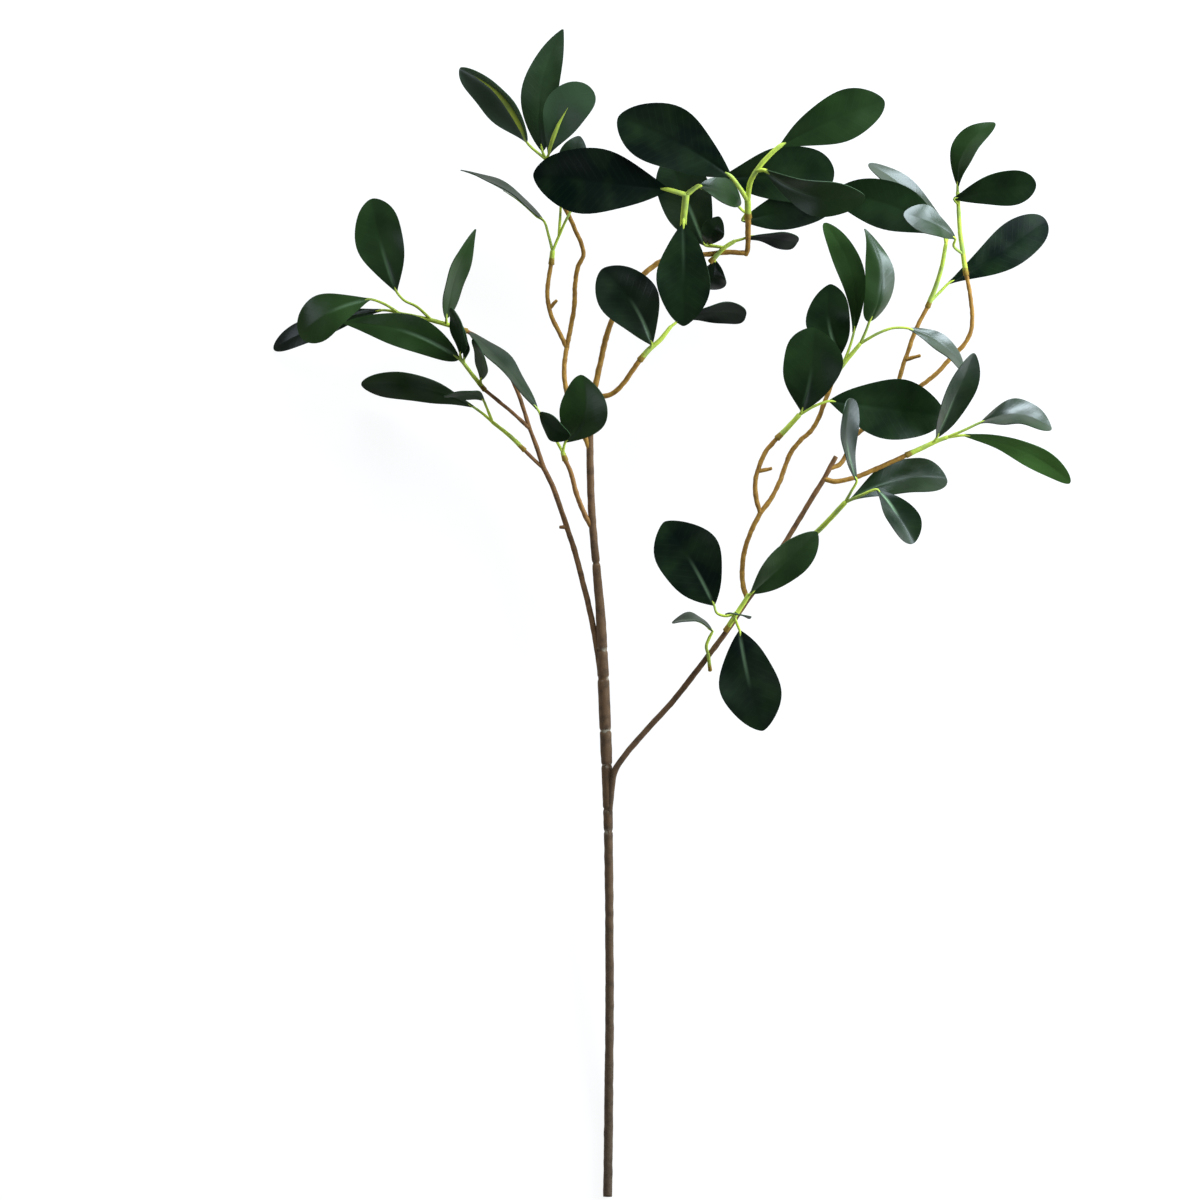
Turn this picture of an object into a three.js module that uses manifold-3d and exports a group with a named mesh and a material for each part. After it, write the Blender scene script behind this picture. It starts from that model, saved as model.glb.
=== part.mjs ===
// A cut ficus branch of the made kind: a wrapped stem, two bound side branches, moulded twigs
// and leafy sprays pushed onto them, laid down on a flat surface with its upper side to +Z.
import * as THREE from "three";
import { mergeVertices } from "three/addons/utils/BufferGeometryUtils.js";
import Module from "manifold-3d";

const wasm = await Module();
wasm.setup();

// Driving dimensions, in millimetres. Places are given from the middle of the stem's cut end:
// X across the branch, Y along the stem towards the leaves, Z up from the surface it lies on.
const SEAT_GAP = 0.3; // clearance round every root that sits on its stem or twig
const STEM_FLAT_HEIGHT = 3.6; // stem axis above the surface where its cut end lies flat
const STEM_SIDES = 8;
const TWIG_SIDES = 5;
const STALK_SIDES = 4;
const STEM_STEP = 22; // length of one facet along a stem, a twig and a leaf stalk
const TWIG_STEP = 12;
const STALK_STEP = 13;
const PEG_RADIUS = 0.6; // pin at a twig's end that holds a spray
const PEG_LENGTH = 5;
const STALK_TAPER = 0.8; // a stalk's radius at the leaf as a share of its radius at the shoot
const STALK_SUNK = 0.08; // share of the midrib that the stalk runs along under the blade

const BLADE = {
  thickness: 0.8,
  lengthSteps: 6,
  widthSteps: 2,
  baseHalfWidth: 0.9,
  tipHalfWidth: 0.6,
  fullness: 1.7, // sum of the outline's two powers, shared out by where the leaf is widest
};

// How a leaf lies unless its own entry says otherwise: roll and fold in degrees, arch, sway and
// wave and the stalk's radius in millimetres, and belly as the share of its length at which it is
// widest.
const LEAF_SHAPE = { roll: 0, fold: 8, arch: 4, sway: 0, wave: 0.8, belly: 0.56, stalkRadius: 1.2 };

// Colour and roughness of each kind of surface.
const FINISH = {
  stem: { color: 0x5d4a38, roughness: 0.85 },
  twig: { color: 0xa87433, roughness: 0.7 },
  spray: { color: 0x1d3a1c, roughness: 0.45 },
};

// One leaf: the stalk's points before the base, then base, tip and width of the blade. Seen along
// it, roll turns its upper face towards its right side, sway bows the midrib to that side and arch
// bows it upwards.
function leaf(stalk, base, tip, width, shape = {}) {
  return { stalk, base, tip, width, ...LEAF_SHAPE, ...shape };
}

// One stretch of stem or twig along its points, tapering between two radii.
function rod(points, startRadius, endRadius = startRadius, extra = {}) {
  return { points, startRadius, endRadius, peg: false, ...extra };
}

// Woody pieces, each with the piece that it sits on.
const WOOD = [
  {
    name: "main_stem",
    finish: FINISH.stem,
    sides: STEM_SIDES,
    step: STEM_STEP,
    rods: [
      rod(
        [
          [-1, 0, STEM_FLAT_HEIGHT], [-0.5, 45, STEM_FLAT_HEIGHT], [0.5, 150, 11], [0, 250, 20],
          [-1.5, 330, 27], [-4, 395, 33], [-6.2, 450, 38], [-9.5, 490, 41], [-13, 530, 43.5],
          [-14.5, 565, 46], [-15, 600, 48],
        ],
        3.6,
        2.8,
        { swelling: { radius: 1.6, at: 0.64, spread: 0.14 }, peg: true },
      ),
    ],
  },
  {
    name: "left_branch",
    finish: FINISH.stem,
    on: "main_stem",
    rods: [
      rod(
        [
          [-4, 393, 33], [-9, 428, 35], [-15, 460, 36], [-20, 480, 36], [-27, 507, 36],
          [-33, 525, 36], [-39, 543, 36], [-44, 557, 36], [-51, 571, 37],
        ],
        2.5,
        2.0,
      ),
      rod([[-51, 571, 37], [-56, 586, 39], [-62, 602, 42]], 2.0, 1.6),
      rod(
        [
          [-62, 602, 42], [-70, 627, 43], [-77, 643, 43], [-88, 662, 42.5], [-97, 670, 42],
          [-111, 678, 42],
        ],
        1.6,
        1.5,
        { peg: true },
      ),
      rod([[-62, 602, 42], [-75, 614, 46], [-86, 623, 49], [-97, 632, 52]], 1.5, 1.4, { peg: true }),
      rod([[-51, 571, 37], [-59, 578, 37.5], [-66, 585, 38]], 1.5, 1.4, { peg: true }),
      rod([[-33, 525, 36], [-38.5, 525, 38]], 1.8, 1.3),
    ],
  },
  {
    name: "middle_twig",
    finish: FINISH.twig,
    on: "main_stem",
    rods: [
      rod(
        [[-13, 524, 43], [-20, 537, 47], [-26, 553, 52], [-30, 568, 55.5], [-34, 577, 58]],
        2.1,
        1.8,
        { peg: true },
      ),
    ],
  },
  {
    name: "top_left_twig",
    finish: FINISH.twig,
    on: "main_stem",
    rods: [
      rod(
        [
          [-14.8, 585, 47.3], [-20, 598, 50], [-28, 614, 52], [-34, 636, 53], [-35, 650, 53],
          [-33, 665, 53],
        ],
        2.1,
        1.9,
      ),
      rod(
        [
          [-33, 665, 53], [-39, 677, 54.5], [-45, 690, 56], [-48, 705, 56.5], [-47, 719, 56],
          [-45, 730, 56],
        ],
        1.8,
        1.7,
        { peg: true },
      ),
      rod(
        [
          [-33, 665, 53], [-30, 680, 54.5], [-27, 698, 55.5], [-26.5, 713, 56], [-24.5, 727, 56],
          [-20, 737, 56.5], [-21.5, 746, 57], [-26, 756, 58], [-31, 767, 59], [-37, 779, 60],
          [-44, 795, 62],
        ],
        1.9,
        1.7,
        { peg: true },
      ),
      rod([[-46.5, 695, 56], [-41, 701.5, 58]], 1.6, 1.2),
    ],
  },
  {
    name: "crown_twig",
    finish: FINISH.twig,
    on: "main_stem",
    rods: [
      rod([[-15, 597, 48], [-13.5, 614, 49], [-12, 628, 50]], 2.7, 2.4),
      rod(
        [
          [-12, 628, 50], [-7, 652, 51], [0, 680, 51], [13, 707, 50], [29, 724, 48.5],
          [42, 733, 47.5], [58, 737, 46.5], [78, 738, 46], [92, 739.5, 46], [106, 739, 46],
        ],
        2.3,
        2.0,
      ),
      rod([[106.5, 737.5, 45.5], [108, 741, 47], [108.5, 752, 52], [108.5, 766, 60]], 2.0, 2.4, {
        peg: true,
      }),
      rod(
        [
          [-12, 628, 50], [-4, 627, 51.5], [4, 630, 53], [12, 638, 55], [19, 648, 57],
          [24, 655, 58],
        ],
        2.1,
        1.9,
        { peg: true },
      ),
    ],
  },
  {
    name: "right_branch",
    finish: FINISH.stem,
    on: "main_stem",
    rods: [
      rod(
        [
          [-0.5, 294, 24.5], [2, 318, 28], [4.5, 334, 31], [12, 346, 33], [30, 367, 35.5],
          [50, 389, 38], [78, 425, 41.5], [90, 441, 43], [98, 452.5, 44.5], [104, 462, 45.5],
          [111, 472, 46.5], [125, 493, 48], [140, 517, 49], [160, 550, 50.5], [168, 563, 51],
          [177, 580, 52],
        ],
        2.5,
        1.9,
      ),
    ],
  },
  {
    name: "right_lower_twig",
    finish: FINISH.twig,
    on: "right_branch",
    rods: [
      rod(
        [
          [108.5, 468.5, 46], [105.5, 476, 46], [104, 486, 46.5], [104.5, 498, 48],
          [107, 511, 50], [112, 524, 52.5], [118, 536, 55],
        ],
        2.0,
        1.9,
      ),
      rod(
        [
          [118, 536, 55], [115, 546, 57], [114, 559, 59.5], [117, 572, 61.5], [122.5, 584, 63],
          [131, 594, 64],
        ],
        1.9,
        1.8,
        { peg: true },
      ),
      rod(
        [
          [118, 536, 55], [126, 546.5, 55], [133, 560, 54.5], [138, 574, 54], [142.5, 584, 53.5],
          [150, 593, 53], [158, 600.5, 52.5], [164, 611, 52], [168, 622, 52], [172, 632, 52],
          [175, 641, 52],
        ],
        1.9,
        1.8,
        { peg: true },
      ),
      rod([[117, 568.5, 61], [126.5, 570.5, 63]], 1.7, 1.4),
    ],
  },
  {
    name: "right_side_twig",
    finish: FINISH.twig,
    on: "right_branch",
    rods: [
      rod(
        [
          [168, 562.5, 51], [175, 560.5, 51.5], [186, 562, 52], [197, 565.5, 52], [210, 571, 52],
          [222, 576.5, 52], [232, 581, 52],
        ],
        2.0,
        1.8,
        { peg: true },
      ),
    ],
  },
  {
    name: "right_upper_twig",
    finish: FINISH.twig,
    on: "right_branch",
    rods: [
      rod(
        [
          [172, 571, 51.5], [179, 573, 50], [184.5, 580, 48], [188, 589, 46], [193, 597, 44],
          [202, 604, 42], [214, 615, 40],
        ],
        1.9,
        1.9,
      ),
      rod(
        [
          [214, 615, 40], [222, 628, 38.5], [227, 641, 37.5], [230, 652, 37], [234, 663, 37],
          [238, 675, 37.5], [243, 686, 37.8], [249, 697, 38],
        ],
        1.8,
        1.7,
        { peg: true },
      ),
      rod(
        [
          [214, 615, 40], [228, 625, 37], [243, 635, 35], [256, 645, 34.5], [268, 658, 35],
          [277, 667, 36], [282.5, 677, 37], [284, 688, 38], [283, 701, 39.5], [281, 713, 41],
          [279, 722, 42],
        ],
        1.8,
        1.7,
        { peg: true },
      ),
      rod([[231, 655.5, 37], [243, 659, 39]], 1.6, 1.3),
    ],
  },
];

// Leafy sprays: the green shoot's points from its seat upwards, its two radii, and its leaves.
const SPRAYS = [
  {
    name: "left_tip_spray",
    on: "left_branch",
    shoot: rod([[-111, 678, 42], [-126, 683, 42], [-145, 688, 41], [-164, 692, 40]], 2.0, 1.4),
    leaves: [
      leaf([[-138, 686, 41.5], [-150, 697, 44], [-160, 702, 46]], [-166, 709, 47], [-185, 781, 58], 38, {
        sway: -2,
        belly: 0.62,
      }),
      leaf([[-164, 692, 40], [-175, 699, 42]], [-187, 703, 43], [-242, 675, 30], 33, {
        arch: 8,
        sway: 5,
        belly: 0.66,
      }),
      leaf([[-164, 692, 40], [-171, 694, 38]], [-178, 694.5, 36], [-263, 665, 0.5], 19, {
        sway: 5,
        belly: 0.64,
      }),
      leaf([[-127, 683, 42]], [-127, 688, 45], [-104, 757, 60], 28, { roll: 60, sway: -3, belly: 0.44 }),
    ],
  },
  {
    name: "left_inner_spray",
    on: "left_branch",
    shoot: rod([[-97, 632, 52], [-106, 643, 57], [-115, 655, 61]], 1.8, 1.4),
    leaves: [
      leaf([[-113, 652, 60]], [-117, 656, 62], [-207, 684, 58], 27, { sway: 8, belly: 0.42 }),
      leaf([[-115, 655, 61]], [-116, 660, 64], [-122, 695, 86], 26, { roll: -65, sway: 3 }),
      leaf([[-113, 652, 60]], [-112, 656, 63], [-112, 684, 82], 14, { roll: -75, sway: 3 }),
      leaf([[-100, 636, 54]], [-101, 640, 58], [-109, 673, 86], 24, { roll: -62, sway: 3 }),
    ],
  },
  {
    name: "left_low_spray",
    on: "left_branch",
    shoot: rod([[-66, 585, 38], [-76, 595, 37], [-91, 607, 35]], 1.8, 1.4),
    leaves: [
      leaf([[-91, 607, 35], [-99, 614, 34]], [-106, 619, 33], [-194, 637, 14], 36, {
        roll: -56,
        sway: 7,
        belly: 0.62,
      }),
      leaf([[-91, 607, 35], [-95, 619, 44]], [-97, 629, 50], [-128, 627, 66], 20, { roll: -70, sway: 4 }),
    ],
  },
  {
    name: "middle_spray",
    on: "middle_twig",
    shoot: rod([[-34, 577, 58], [-36, 583, 59]], 2.1, 1.8),
    leaves: [
      leaf([[-36, 583, 59], [-42, 594, 61], [-50, 607, 63]], [-56, 617, 64], [-109, 677, 48], 24, {
        roll: 60,
        sway: 3.5,
      }),
      leaf([[-50, 607, 63]], [-54, 613, 65], [-30, 596, 90], 24, { roll: 50, sway: 3 }),
      leaf([[-36, 583, 59]], [-34, 591, 61], [-21, 643, 86], 38, { sway: 9 }),
    ],
  },
  {
    name: "top_left_spray",
    on: "top_left_twig",
    shoot: rod([[-44, 795, 62], [-49, 811, 66]], 2.1, 1.8),
    leaves: [
      leaf([[-49, 811, 66]], [-52, 818, 67], [-36, 913, 58], 29, { sway: -9, belly: 0.46 }),
      leaf([[-49, 811, 66]], [-47, 815, 69], [-18, 869, 88], 35, { sway: -4, belly: 0.7 }),
      leaf([[-49, 811, 66]], [-64, 824.5, 68], [-116, 882, 72], 40, { roll: -40, fold: 42, sway: 9 }),
    ],
  },
  {
    name: "top_left_side_spray",
    on: "top_left_twig",
    shoot: rod([[-45, 730, 56], [-44, 740, 56.5]], 2.1, 1.9),
    leaves: [
      leaf([[-44, 740, 56.5], [-47, 752, 55]], [-51, 764, 53], [-116, 804, 36], 32, {
        roll: 80,
        sway: 5,
      }),
      leaf([[-44, 740, 56.5], [-39, 752, 58], [-33, 765, 63]], [-27, 775, 62], [12, 800, 56], 26),
      leaf([[-39, 752, 58], [-38, 768, 56]], [-37, 782, 54.5], [-23, 830, 52], 24),
    ],
  },
  {
    name: "crown_left_spray",
    on: "crown_twig",
    shoot: rod([[58, 737, 47], [57.5, 748, 60], [58, 764, 74], [60, 783, 82]], 2.2, 2.7),
    leaves: [
      leaf([[60, 783, 82]], [46, 787, 85], [-59, 799, 80], 51, { arch: 6, belly: 0.6, stalkRadius: 2.1 }),
      leaf([[60, 783, 82]], [70, 790, 83], [103, 778, 60], 26, { roll: -40, sway: -3, stalkRadius: 2.1 }),
      leaf([[58, 766, 75]], [58, 761, 80], [58, 681, 82], 41),
    ],
  },
  {
    name: "crown_tip_spray",
    on: "crown_twig",
    shoot: rod([[108.5, 766, 60], [108, 779, 68]], 2.5, 2.5),
    leaves: [
      leaf([[108, 779, 68], [102, 788, 78]], [95, 797, 85], [7, 843, 96], 49, {
        sway: 4,
        belly: 0.62,
        stalkRadius: 2.0,
      }),
      leaf(
        [[108, 779, 68], [110, 793, 76], [117, 805, 82], [126, 815, 85]],
        [133, 821, 86],
        [214, 856, 88],
        38,
        { sway: -2, belly: 0.62, stalkRadius: 2.2 },
      ),
      leaf([[115, 802, 81]], [121, 802, 86], [199, 780, 92], 32, {
        roll: 36,
        sway: 9,
        belly: 0.62,
        stalkRadius: 1.8,
      }),
      leaf([[108.3, 769, 62], [103, 773, 53]], [86, 797, 48], [176, 802, 44], 46, { belly: 0.66 }),
      leaf([[108.3, 771, 63]], [104, 764, 52], [178, 781, 34], 31),
    ],
  },
  {
    name: "crown_back_spray",
    on: "crown_twig",
    shoot: rod([[79, 732, 47], [85, 738, 48.5], [90, 743, 50], [98, 748, 50]], 1.9, 1.6),
    leaves: [
      leaf([[98, 748, 50]], [105, 750, 49], [147, 747, 36], 25, { roll: 62, sway: -2.5, belly: 0.78 }),
      leaf([[79, 732, 47]], [83, 733, 42], [80, 711, 26], 22),
      leaf([[90, 743, 50]], [77, 746, 49], [86, 767, 62], 18),
      leaf([[90, 743, 50], [82, 744, 46]], [75, 745, 44], [46, 815, 46], 42),
    ],
  },
  {
    name: "crown_low_spray",
    on: "crown_twig",
    shoot: rod([[24, 655, 58], [30, 662, 59], [40, 671, 57], [48, 681, 54]], 2.3, 1.6),
    leaves: [
      leaf([[30, 662, 59]], [33.5, 667, 61], [-5, 726, 76], 44, { sway: 5, belly: 0.62 }),
      leaf([[48, 681, 54]], [53, 685, 52], [107, 690, 38], 28, { roll: 56, sway: -5.5, belly: 0.74 }),
    ],
  },
  {
    name: "right_base_spray",
    on: "right_branch",
    shoot: rod([[91, 444, 46], [98, 455, 48.5], [104, 464, 49.5], [109, 472, 51]], 2.0, 1.7),
    leaves: [
      leaf([[100, 458, 49], [91, 455.5, 51], [84, 458, 53]], [82, 464, 55], [43, 529, 66], 50, {
        sway: 2,
      }),
      leaf([[109, 472, 51]], [111, 473, 55], [162, 521, 68], 34, { roll: 35, sway: 1 }),
      leaf([[98, 455, 48.5], [100, 449, 52]], [102, 444, 53], [120, 366, 60], 46, { sway: 2 }),
      leaf([[97.5, 454.5, 48.2]], [99, 457, 53], [108, 455.5, 88], 18, { roll: 90 }),
    ],
  },
  {
    name: "right_base_sprig",
    on: "right_branch",
    shoot: rod([[79, 413, 40], [77.5, 425, 44], [76, 432, 46], [79, 440, 47]], 1.4, 1.2),
    leaves: [leaf([[79, 440, 47]], [81, 444, 48], [49, 450, 52], 26, { roll: 78, sway: 6 })],
  },
  {
    name: "right_round_spray",
    on: "right_lower_twig",
    shoot: rod([[131, 594, 64], [139, 602, 66], [148, 612, 68]], 2.2, 1.9),
    leaves: [
      leaf([[148, 612, 68]], [150, 615, 70], [159, 680, 84], 47, { sway: 3, belly: 0.6 }),
      leaf([[148, 612, 68], [160, 619, 68]], [172, 623, 68], [263, 611, 48], 47),
    ],
  },
  {
    name: "right_tall_spray",
    on: "right_lower_twig",
    shoot: rod([[175, 641, 52], [182, 651, 54], [196, 668, 57]], 2.1, 1.5),
    leaves: [
      leaf([[182, 651, 54]], [180, 659, 58], [172, 714, 70], 35, { sway: -5 }),
      leaf([[182, 651, 54], [187, 663, 55]], [191, 677, 56], [168, 762, 62], 21, {
        roll: 8,
        sway: 10,
        belly: 0.62,
      }),
      leaf([[196, 668, 57], [200, 677, 60]], [203, 685, 63], [199, 757, 74], 28, {
        roll: 25,
        fold: -20,
        arch: 8,
        sway: 11,
        belly: 0.38,
      }),
      leaf([[196, 668, 57], [210, 676, 61], [222, 680, 63]], [234, 679.5, 64], [277, 646, 50], 18, {
        roll: -46,
        sway: -6,
      }),
    ],
  },
  {
    name: "right_far_spray",
    on: "right_upper_twig",
    shoot: rod([[249, 697, 38], [256, 715, 42], [260, 729, 45], [263, 746, 48]], 2.0, 1.5),
    leaves: [
      leaf([[263, 746, 48]], [261, 755, 50], [174, 785, 58], 38, { sway: 6 }),
      leaf([[263, 746, 48]], [265, 756, 43], [203, 809, 34], 20, { roll: 46, sway: 4, belly: 0.64 }),
      leaf([[252, 702, 39], [260, 710, 35]], [266, 716, 32], [343, 766, 0.5], 33, {
        sway: 2,
        belly: 0.68,
      }),
    ],
  },
  {
    name: "right_tip_spray",
    on: "right_upper_twig",
    shoot: rod(
      [[279, 722, 42], [276.5, 738, 45], [274, 755, 48], [273, 770, 50], [272, 786, 52]],
      2.0,
      1.5,
    ),
    leaves: [
      leaf([[276.5, 738, 45], [269, 744, 52]], [270, 750, 60], [229, 768, 82], 25, {
        roll: 36,
        sway: 3,
        belly: 0.62,
      }),
      leaf([[272, 786, 52]], [272, 791, 53], [301, 840, 60], 26, { roll: -40, sway: -10 }),
      leaf([[272.5, 777, 51]], [269, 781, 54], [333, 793, 58], 29, { roll: 20, sway: -1, belly: 0.66 }),
    ],
  },
  {
    name: "right_side_spray",
    on: "right_side_twig",
    shoot: rod([[232, 581, 52], [245, 587, 52.5], [257, 592.5, 53], [264, 595, 53]], 2.1, 1.6),
    leaves: [
      leaf([[252, 590, 53]], [256, 595, 56], [284, 660, 80], 30, { roll: 40 }),
      leaf([[264, 595, 53], [276, 600, 56]], [290, 606.5, 58], [345, 601, 64], 30, {
        roll: -45,
        sway: -9,
      }),
      leaf([[264, 595, 53]], [277, 596.5, 52], [361, 560, 26], 19, { roll: 25, sway: -7.5, belly: 0.64 }),
    ],
  },
  {
    name: "right_mid_spray",
    on: "right_branch",
    shoot: rod(
      [[132, 504, 48.5], [148, 511, 49], [162, 521, 51], [173, 532, 55], [184, 544, 60]],
      2.1,
      2.0,
    ),
    leaves: [
      leaf([[184, 544, 60], [189, 553, 65]], [193, 561, 68], [186, 624, 92], 26, {
        roll: 55,
        sway: -4.5,
        belly: 0.72,
      }),
      leaf([[184, 544, 60]], [188, 546, 54], [264, 563, 36], 36, {
        roll: -30,
        arch: 2,
        sway: -7,
        belly: 0.68,
      }),
      leaf([[184, 544, 60], [197, 550, 68]], [209, 554, 72], [237, 512, 78], 30, {
        roll: -30,
        sway: -2,
        belly: 0.64,
      }),
    ],
  },
];

// A closed three.js geometry as a manifold solid.
function solidOf(geometry) {
  geometry.deleteAttribute("normal");
  geometry.deleteAttribute("uv");
  const merged = mergeVertices(geometry, 1e-4);
  return new wasm.Manifold(
    new wasm.Mesh({
      numProp: 3,
      vertProperties: new Float32Array(merged.attributes.position.array),
      triVerts: new Uint32Array(merged.index.array),
    }),
  );
}

function geometryOf(solid) {
  const mesh = solid.getMesh();
  const geometry = new THREE.BufferGeometry();
  geometry.setAttribute("position", new THREE.BufferAttribute(mesh.vertProperties, 3));
  geometry.setIndex(new THREE.BufferAttribute(mesh.triVerts, 1));
  geometry.computeVertexNormals();
  return geometry;
}

const union = (solids) => solids.reduce((whole, solid) => whole.add(solid));

// The largest body of a cut solid, without the scraps that a cut leaves beside it.
function mainBody(solid) {
  const bodies = solid.decompose();
  return bodies.reduce((largest, body) => (body.volume() > largest.volume() ? body : largest));
}

const vector = (point) => new THREE.Vector3(...point);

// The curve through a list of points, run on past both ends by a distance.
function curveThrough(points, runOn = 0) {
  const places = points.map(vector);
  if (runOn > 0) {
    const last = places.length - 1;
    const startOut = places[0].clone().sub(places[1]).setLength(runOn);
    const endOut = places[last].clone().sub(places[last - 1]).setLength(runOn);
    places[0].add(startOut);
    places[last].add(endOut);
  }
  return new THREE.CatmullRomCurve3(places, false, "centripetal");
}

// A closed prism bent along a curve, with a radius at each share of its length. The prism's first
// flat side faces down, so that a stem lies flat on it.
function bentPrism(curve, radiusAt, sides, step) {
  const steps = Math.max(2, Math.round(curve.getLength() / step));
  const geometry = new THREE.CylinderGeometry(1, 1, 1, sides, steps);
  const position = geometry.attributes.position;
  const place = new THREE.Vector3();
  for (let i = 0; i < position.count; i++) {
    const share = position.getY(i) + 0.5;
    const tangent = curve.getTangentAt(share);
    const side = new THREE.Vector3().crossVectors(tangent, new THREE.Vector3(0, 0, 1)).normalize();
    const up = new THREE.Vector3().crossVectors(side, tangent);
    const turn = Math.PI / sides;
    const across = position.getX(i) * Math.cos(turn) - position.getZ(i) * Math.sin(turn);
    const above = position.getX(i) * Math.sin(turn) + position.getZ(i) * Math.cos(turn);
    const radius = radiusAt(share);
    curve.getPointAt(share, place);
    place.addScaledVector(side, across * radius).addScaledVector(up, above * radius);
    position.setXYZ(i, place.x, place.y, place.z);
  }
  return solidOf(geometry);
}

// A rod's solid, grown by a clearance on every side where it is to be cut out of what sits on it.
function rodSolid(piece, sides, step, grow = 0) {
  const curve = curveThrough(piece.points, grow);
  const swelling = piece.swelling;
  const radiusAt = (share) => {
    const straight = THREE.MathUtils.lerp(piece.startRadius, piece.endRadius, share);
    if (!swelling) return straight + grow;
    const distance = (share - swelling.at) / swelling.spread;
    return straight + swelling.radius * Math.exp(-(distance ** 2)) + grow;
  };
  const body = bentPrism(curve, radiusAt, sides, step);
  if (!piece.peg) return body;
  const end = curve.getPointAt(1);
  const out = curve.getTangentAt(1);
  const pegCurve = new THREE.LineCurve3(
    end.clone().addScaledVector(out, -1),
    end.clone().addScaledVector(out, PEG_LENGTH),
  );
  return body.add(bentPrism(pegCurve, () => PEG_RADIUS + grow, STALK_SIDES, PEG_LENGTH));
}

const woodByName = new Map(WOOD.map((piece) => [piece.name, piece]));

function woodSolid(piece, grow = 0) {
  const sides = piece.sides ?? TWIG_SIDES;
  const step = piece.step ?? TWIG_STEP;
  return union(piece.rods.map((part) => rodSolid(part, sides, step, grow)));
}

// Cuts a piece's root to sit on the wood that carries it.
function seated(solid, carrierName) {
  if (!carrierName) return solid;
  return mainBody(solid.subtract(woodSolid(woodByName.get(carrierName), SEAT_GAP)));
}

// The leaf's own frame: its axis, the side to its right and the normal of its upper face.
function leafFrame(entry) {
  const base = vector(entry.base);
  const chord = vector(entry.tip).sub(base);
  const axis = chord.clone().normalize();
  const level = new THREE.Vector3(0, 0, 1).addScaledVector(axis, -axis.z).normalize();
  const right = new THREE.Vector3().crossVectors(axis, level);
  return { base, chord, axis, level, right };
}

// Half the blade's width at a share of its length.
function halfWidth(entry, share) {
  const { fullness, baseHalfWidth, tipHalfWidth } = BLADE;
  const basePower = fullness * entry.belly;
  const tipPower = fullness - basePower;
  const outlineAt = (place) => place ** basePower * (1 - place) ** tipPower;
  const least = THREE.MathUtils.lerp(baseHalfWidth, tipHalfWidth, share);
  return least + ((entry.width / 2 - least) * outlineAt(share)) / outlineAt(entry.belly);
}

// A point of the blade's middle surface lifted along its normal: share runs from base to tip,
// across from -1 at the left edge to 1 at the right, and lift is in millimetres.
function bladePoint(entry, frame, share, across, lift) {
  const roll = THREE.MathUtils.degToRad(entry.roll);
  const fold = THREE.MathUtils.degToRad(entry.fold);
  const normal = frame.level.clone().multiplyScalar(Math.cos(roll));
  normal.addScaledVector(frame.right, Math.sin(roll));
  const side = new THREE.Vector3().crossVectors(frame.axis, normal);
  const bow = 4 * share * (1 - share);
  const reach = halfWidth(entry, share) * across;
  const ripple = entry.wave * Math.abs(across) * bow * Math.sin(3 * Math.PI * share + 2 * across);
  return frame.base
    .clone()
    .addScaledVector(frame.chord, share)
    .addScaledVector(frame.level, entry.arch * bow)
    .addScaledVector(frame.right, entry.sway * bow)
    .addScaledVector(normal, Math.abs(reach) * Math.sin(fold) + ripple + lift)
    .addScaledVector(side, reach * Math.cos(fold));
}

// The edge of a grid of points, anticlockwise from its lower left corner.
function gridEdge(columns, rows) {
  const last = (rows - 1) * columns;
  const alongBase = Array.from({ length: columns - 1 }, (_, i) => last + i);
  const upRight = Array.from({ length: rows - 1 }, (_, i) => last + columns - 1 - i * columns);
  const alongTip = Array.from({ length: columns - 1 }, (_, i) => columns - 1 - i);
  const downLeft = Array.from({ length: rows - 1 }, (_, i) => i * columns);
  return [...alongBase, ...upRight, ...alongTip, ...downLeft];
}

// The blade as a closed slab: two faces split alike, and a rim between them.
function bladeSolid(entry) {
  const { lengthSteps, widthSteps, thickness } = BLADE;
  const frame = leafFrame(entry);
  const face = new THREE.PlaneGeometry(2, 1, widthSteps, lengthSteps);
  const grid = face.attributes.position;
  const points = [];
  for (const lift of [thickness / 2, -thickness / 2]) {
    for (let i = 0; i < grid.count; i++) {
      const share = (1 + Math.sin(Math.PI * grid.getY(i))) / 2;
      points.push(bladePoint(entry, frame, share, grid.getX(i), lift));
    }
  }
  const upper = Array.from(face.index.array);
  const lower = upper.map((corner) => corner + grid.count).reverse();
  const edge = gridEdge(widthSteps + 1, lengthSteps + 1);
  const rim = edge.flatMap((corner, i) => {
    const next = edge[(i + 1) % edge.length];
    return [next, corner, corner + grid.count, next, corner + grid.count, next + grid.count];
  });
  const geometry = new THREE.BufferGeometry().setFromPoints(points);
  geometry.setIndex([...upper, ...lower, ...rim]);
  return solidOf(geometry);
}

// The stalk from the shoot to the base, and on along the midrib under the blade.
function stalkSolid(entry) {
  const frame = leafFrame(entry);
  const sunk = [STALK_SUNK / 2, STALK_SUNK].map((share) => bladePoint(entry, frame, share, 0, 0).toArray());
  const curve = curveThrough([...entry.stalk, entry.base, ...sunk]);
  const radiusAt = (share) => entry.stalkRadius * THREE.MathUtils.lerp(1, STALK_TAPER, share);
  return bentPrism(curve, radiusAt, STALK_SIDES, STALK_STEP);
}

function spraySolid(spray) {
  const pieces = [rodSolid(spray.shoot, TWIG_SIDES, TWIG_STEP)];
  for (const entry of spray.leaves) {
    pieces.push(stalkSolid(entry), bladeSolid(entry));
  }
  return union(pieces);
}

function meshOf(name, solid, finish) {
  const mesh = new THREE.Mesh(geometryOf(solid), new THREE.MeshStandardMaterial({ ...finish, metalness: 0 }));
  mesh.name = name;
  return mesh;
}

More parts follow.
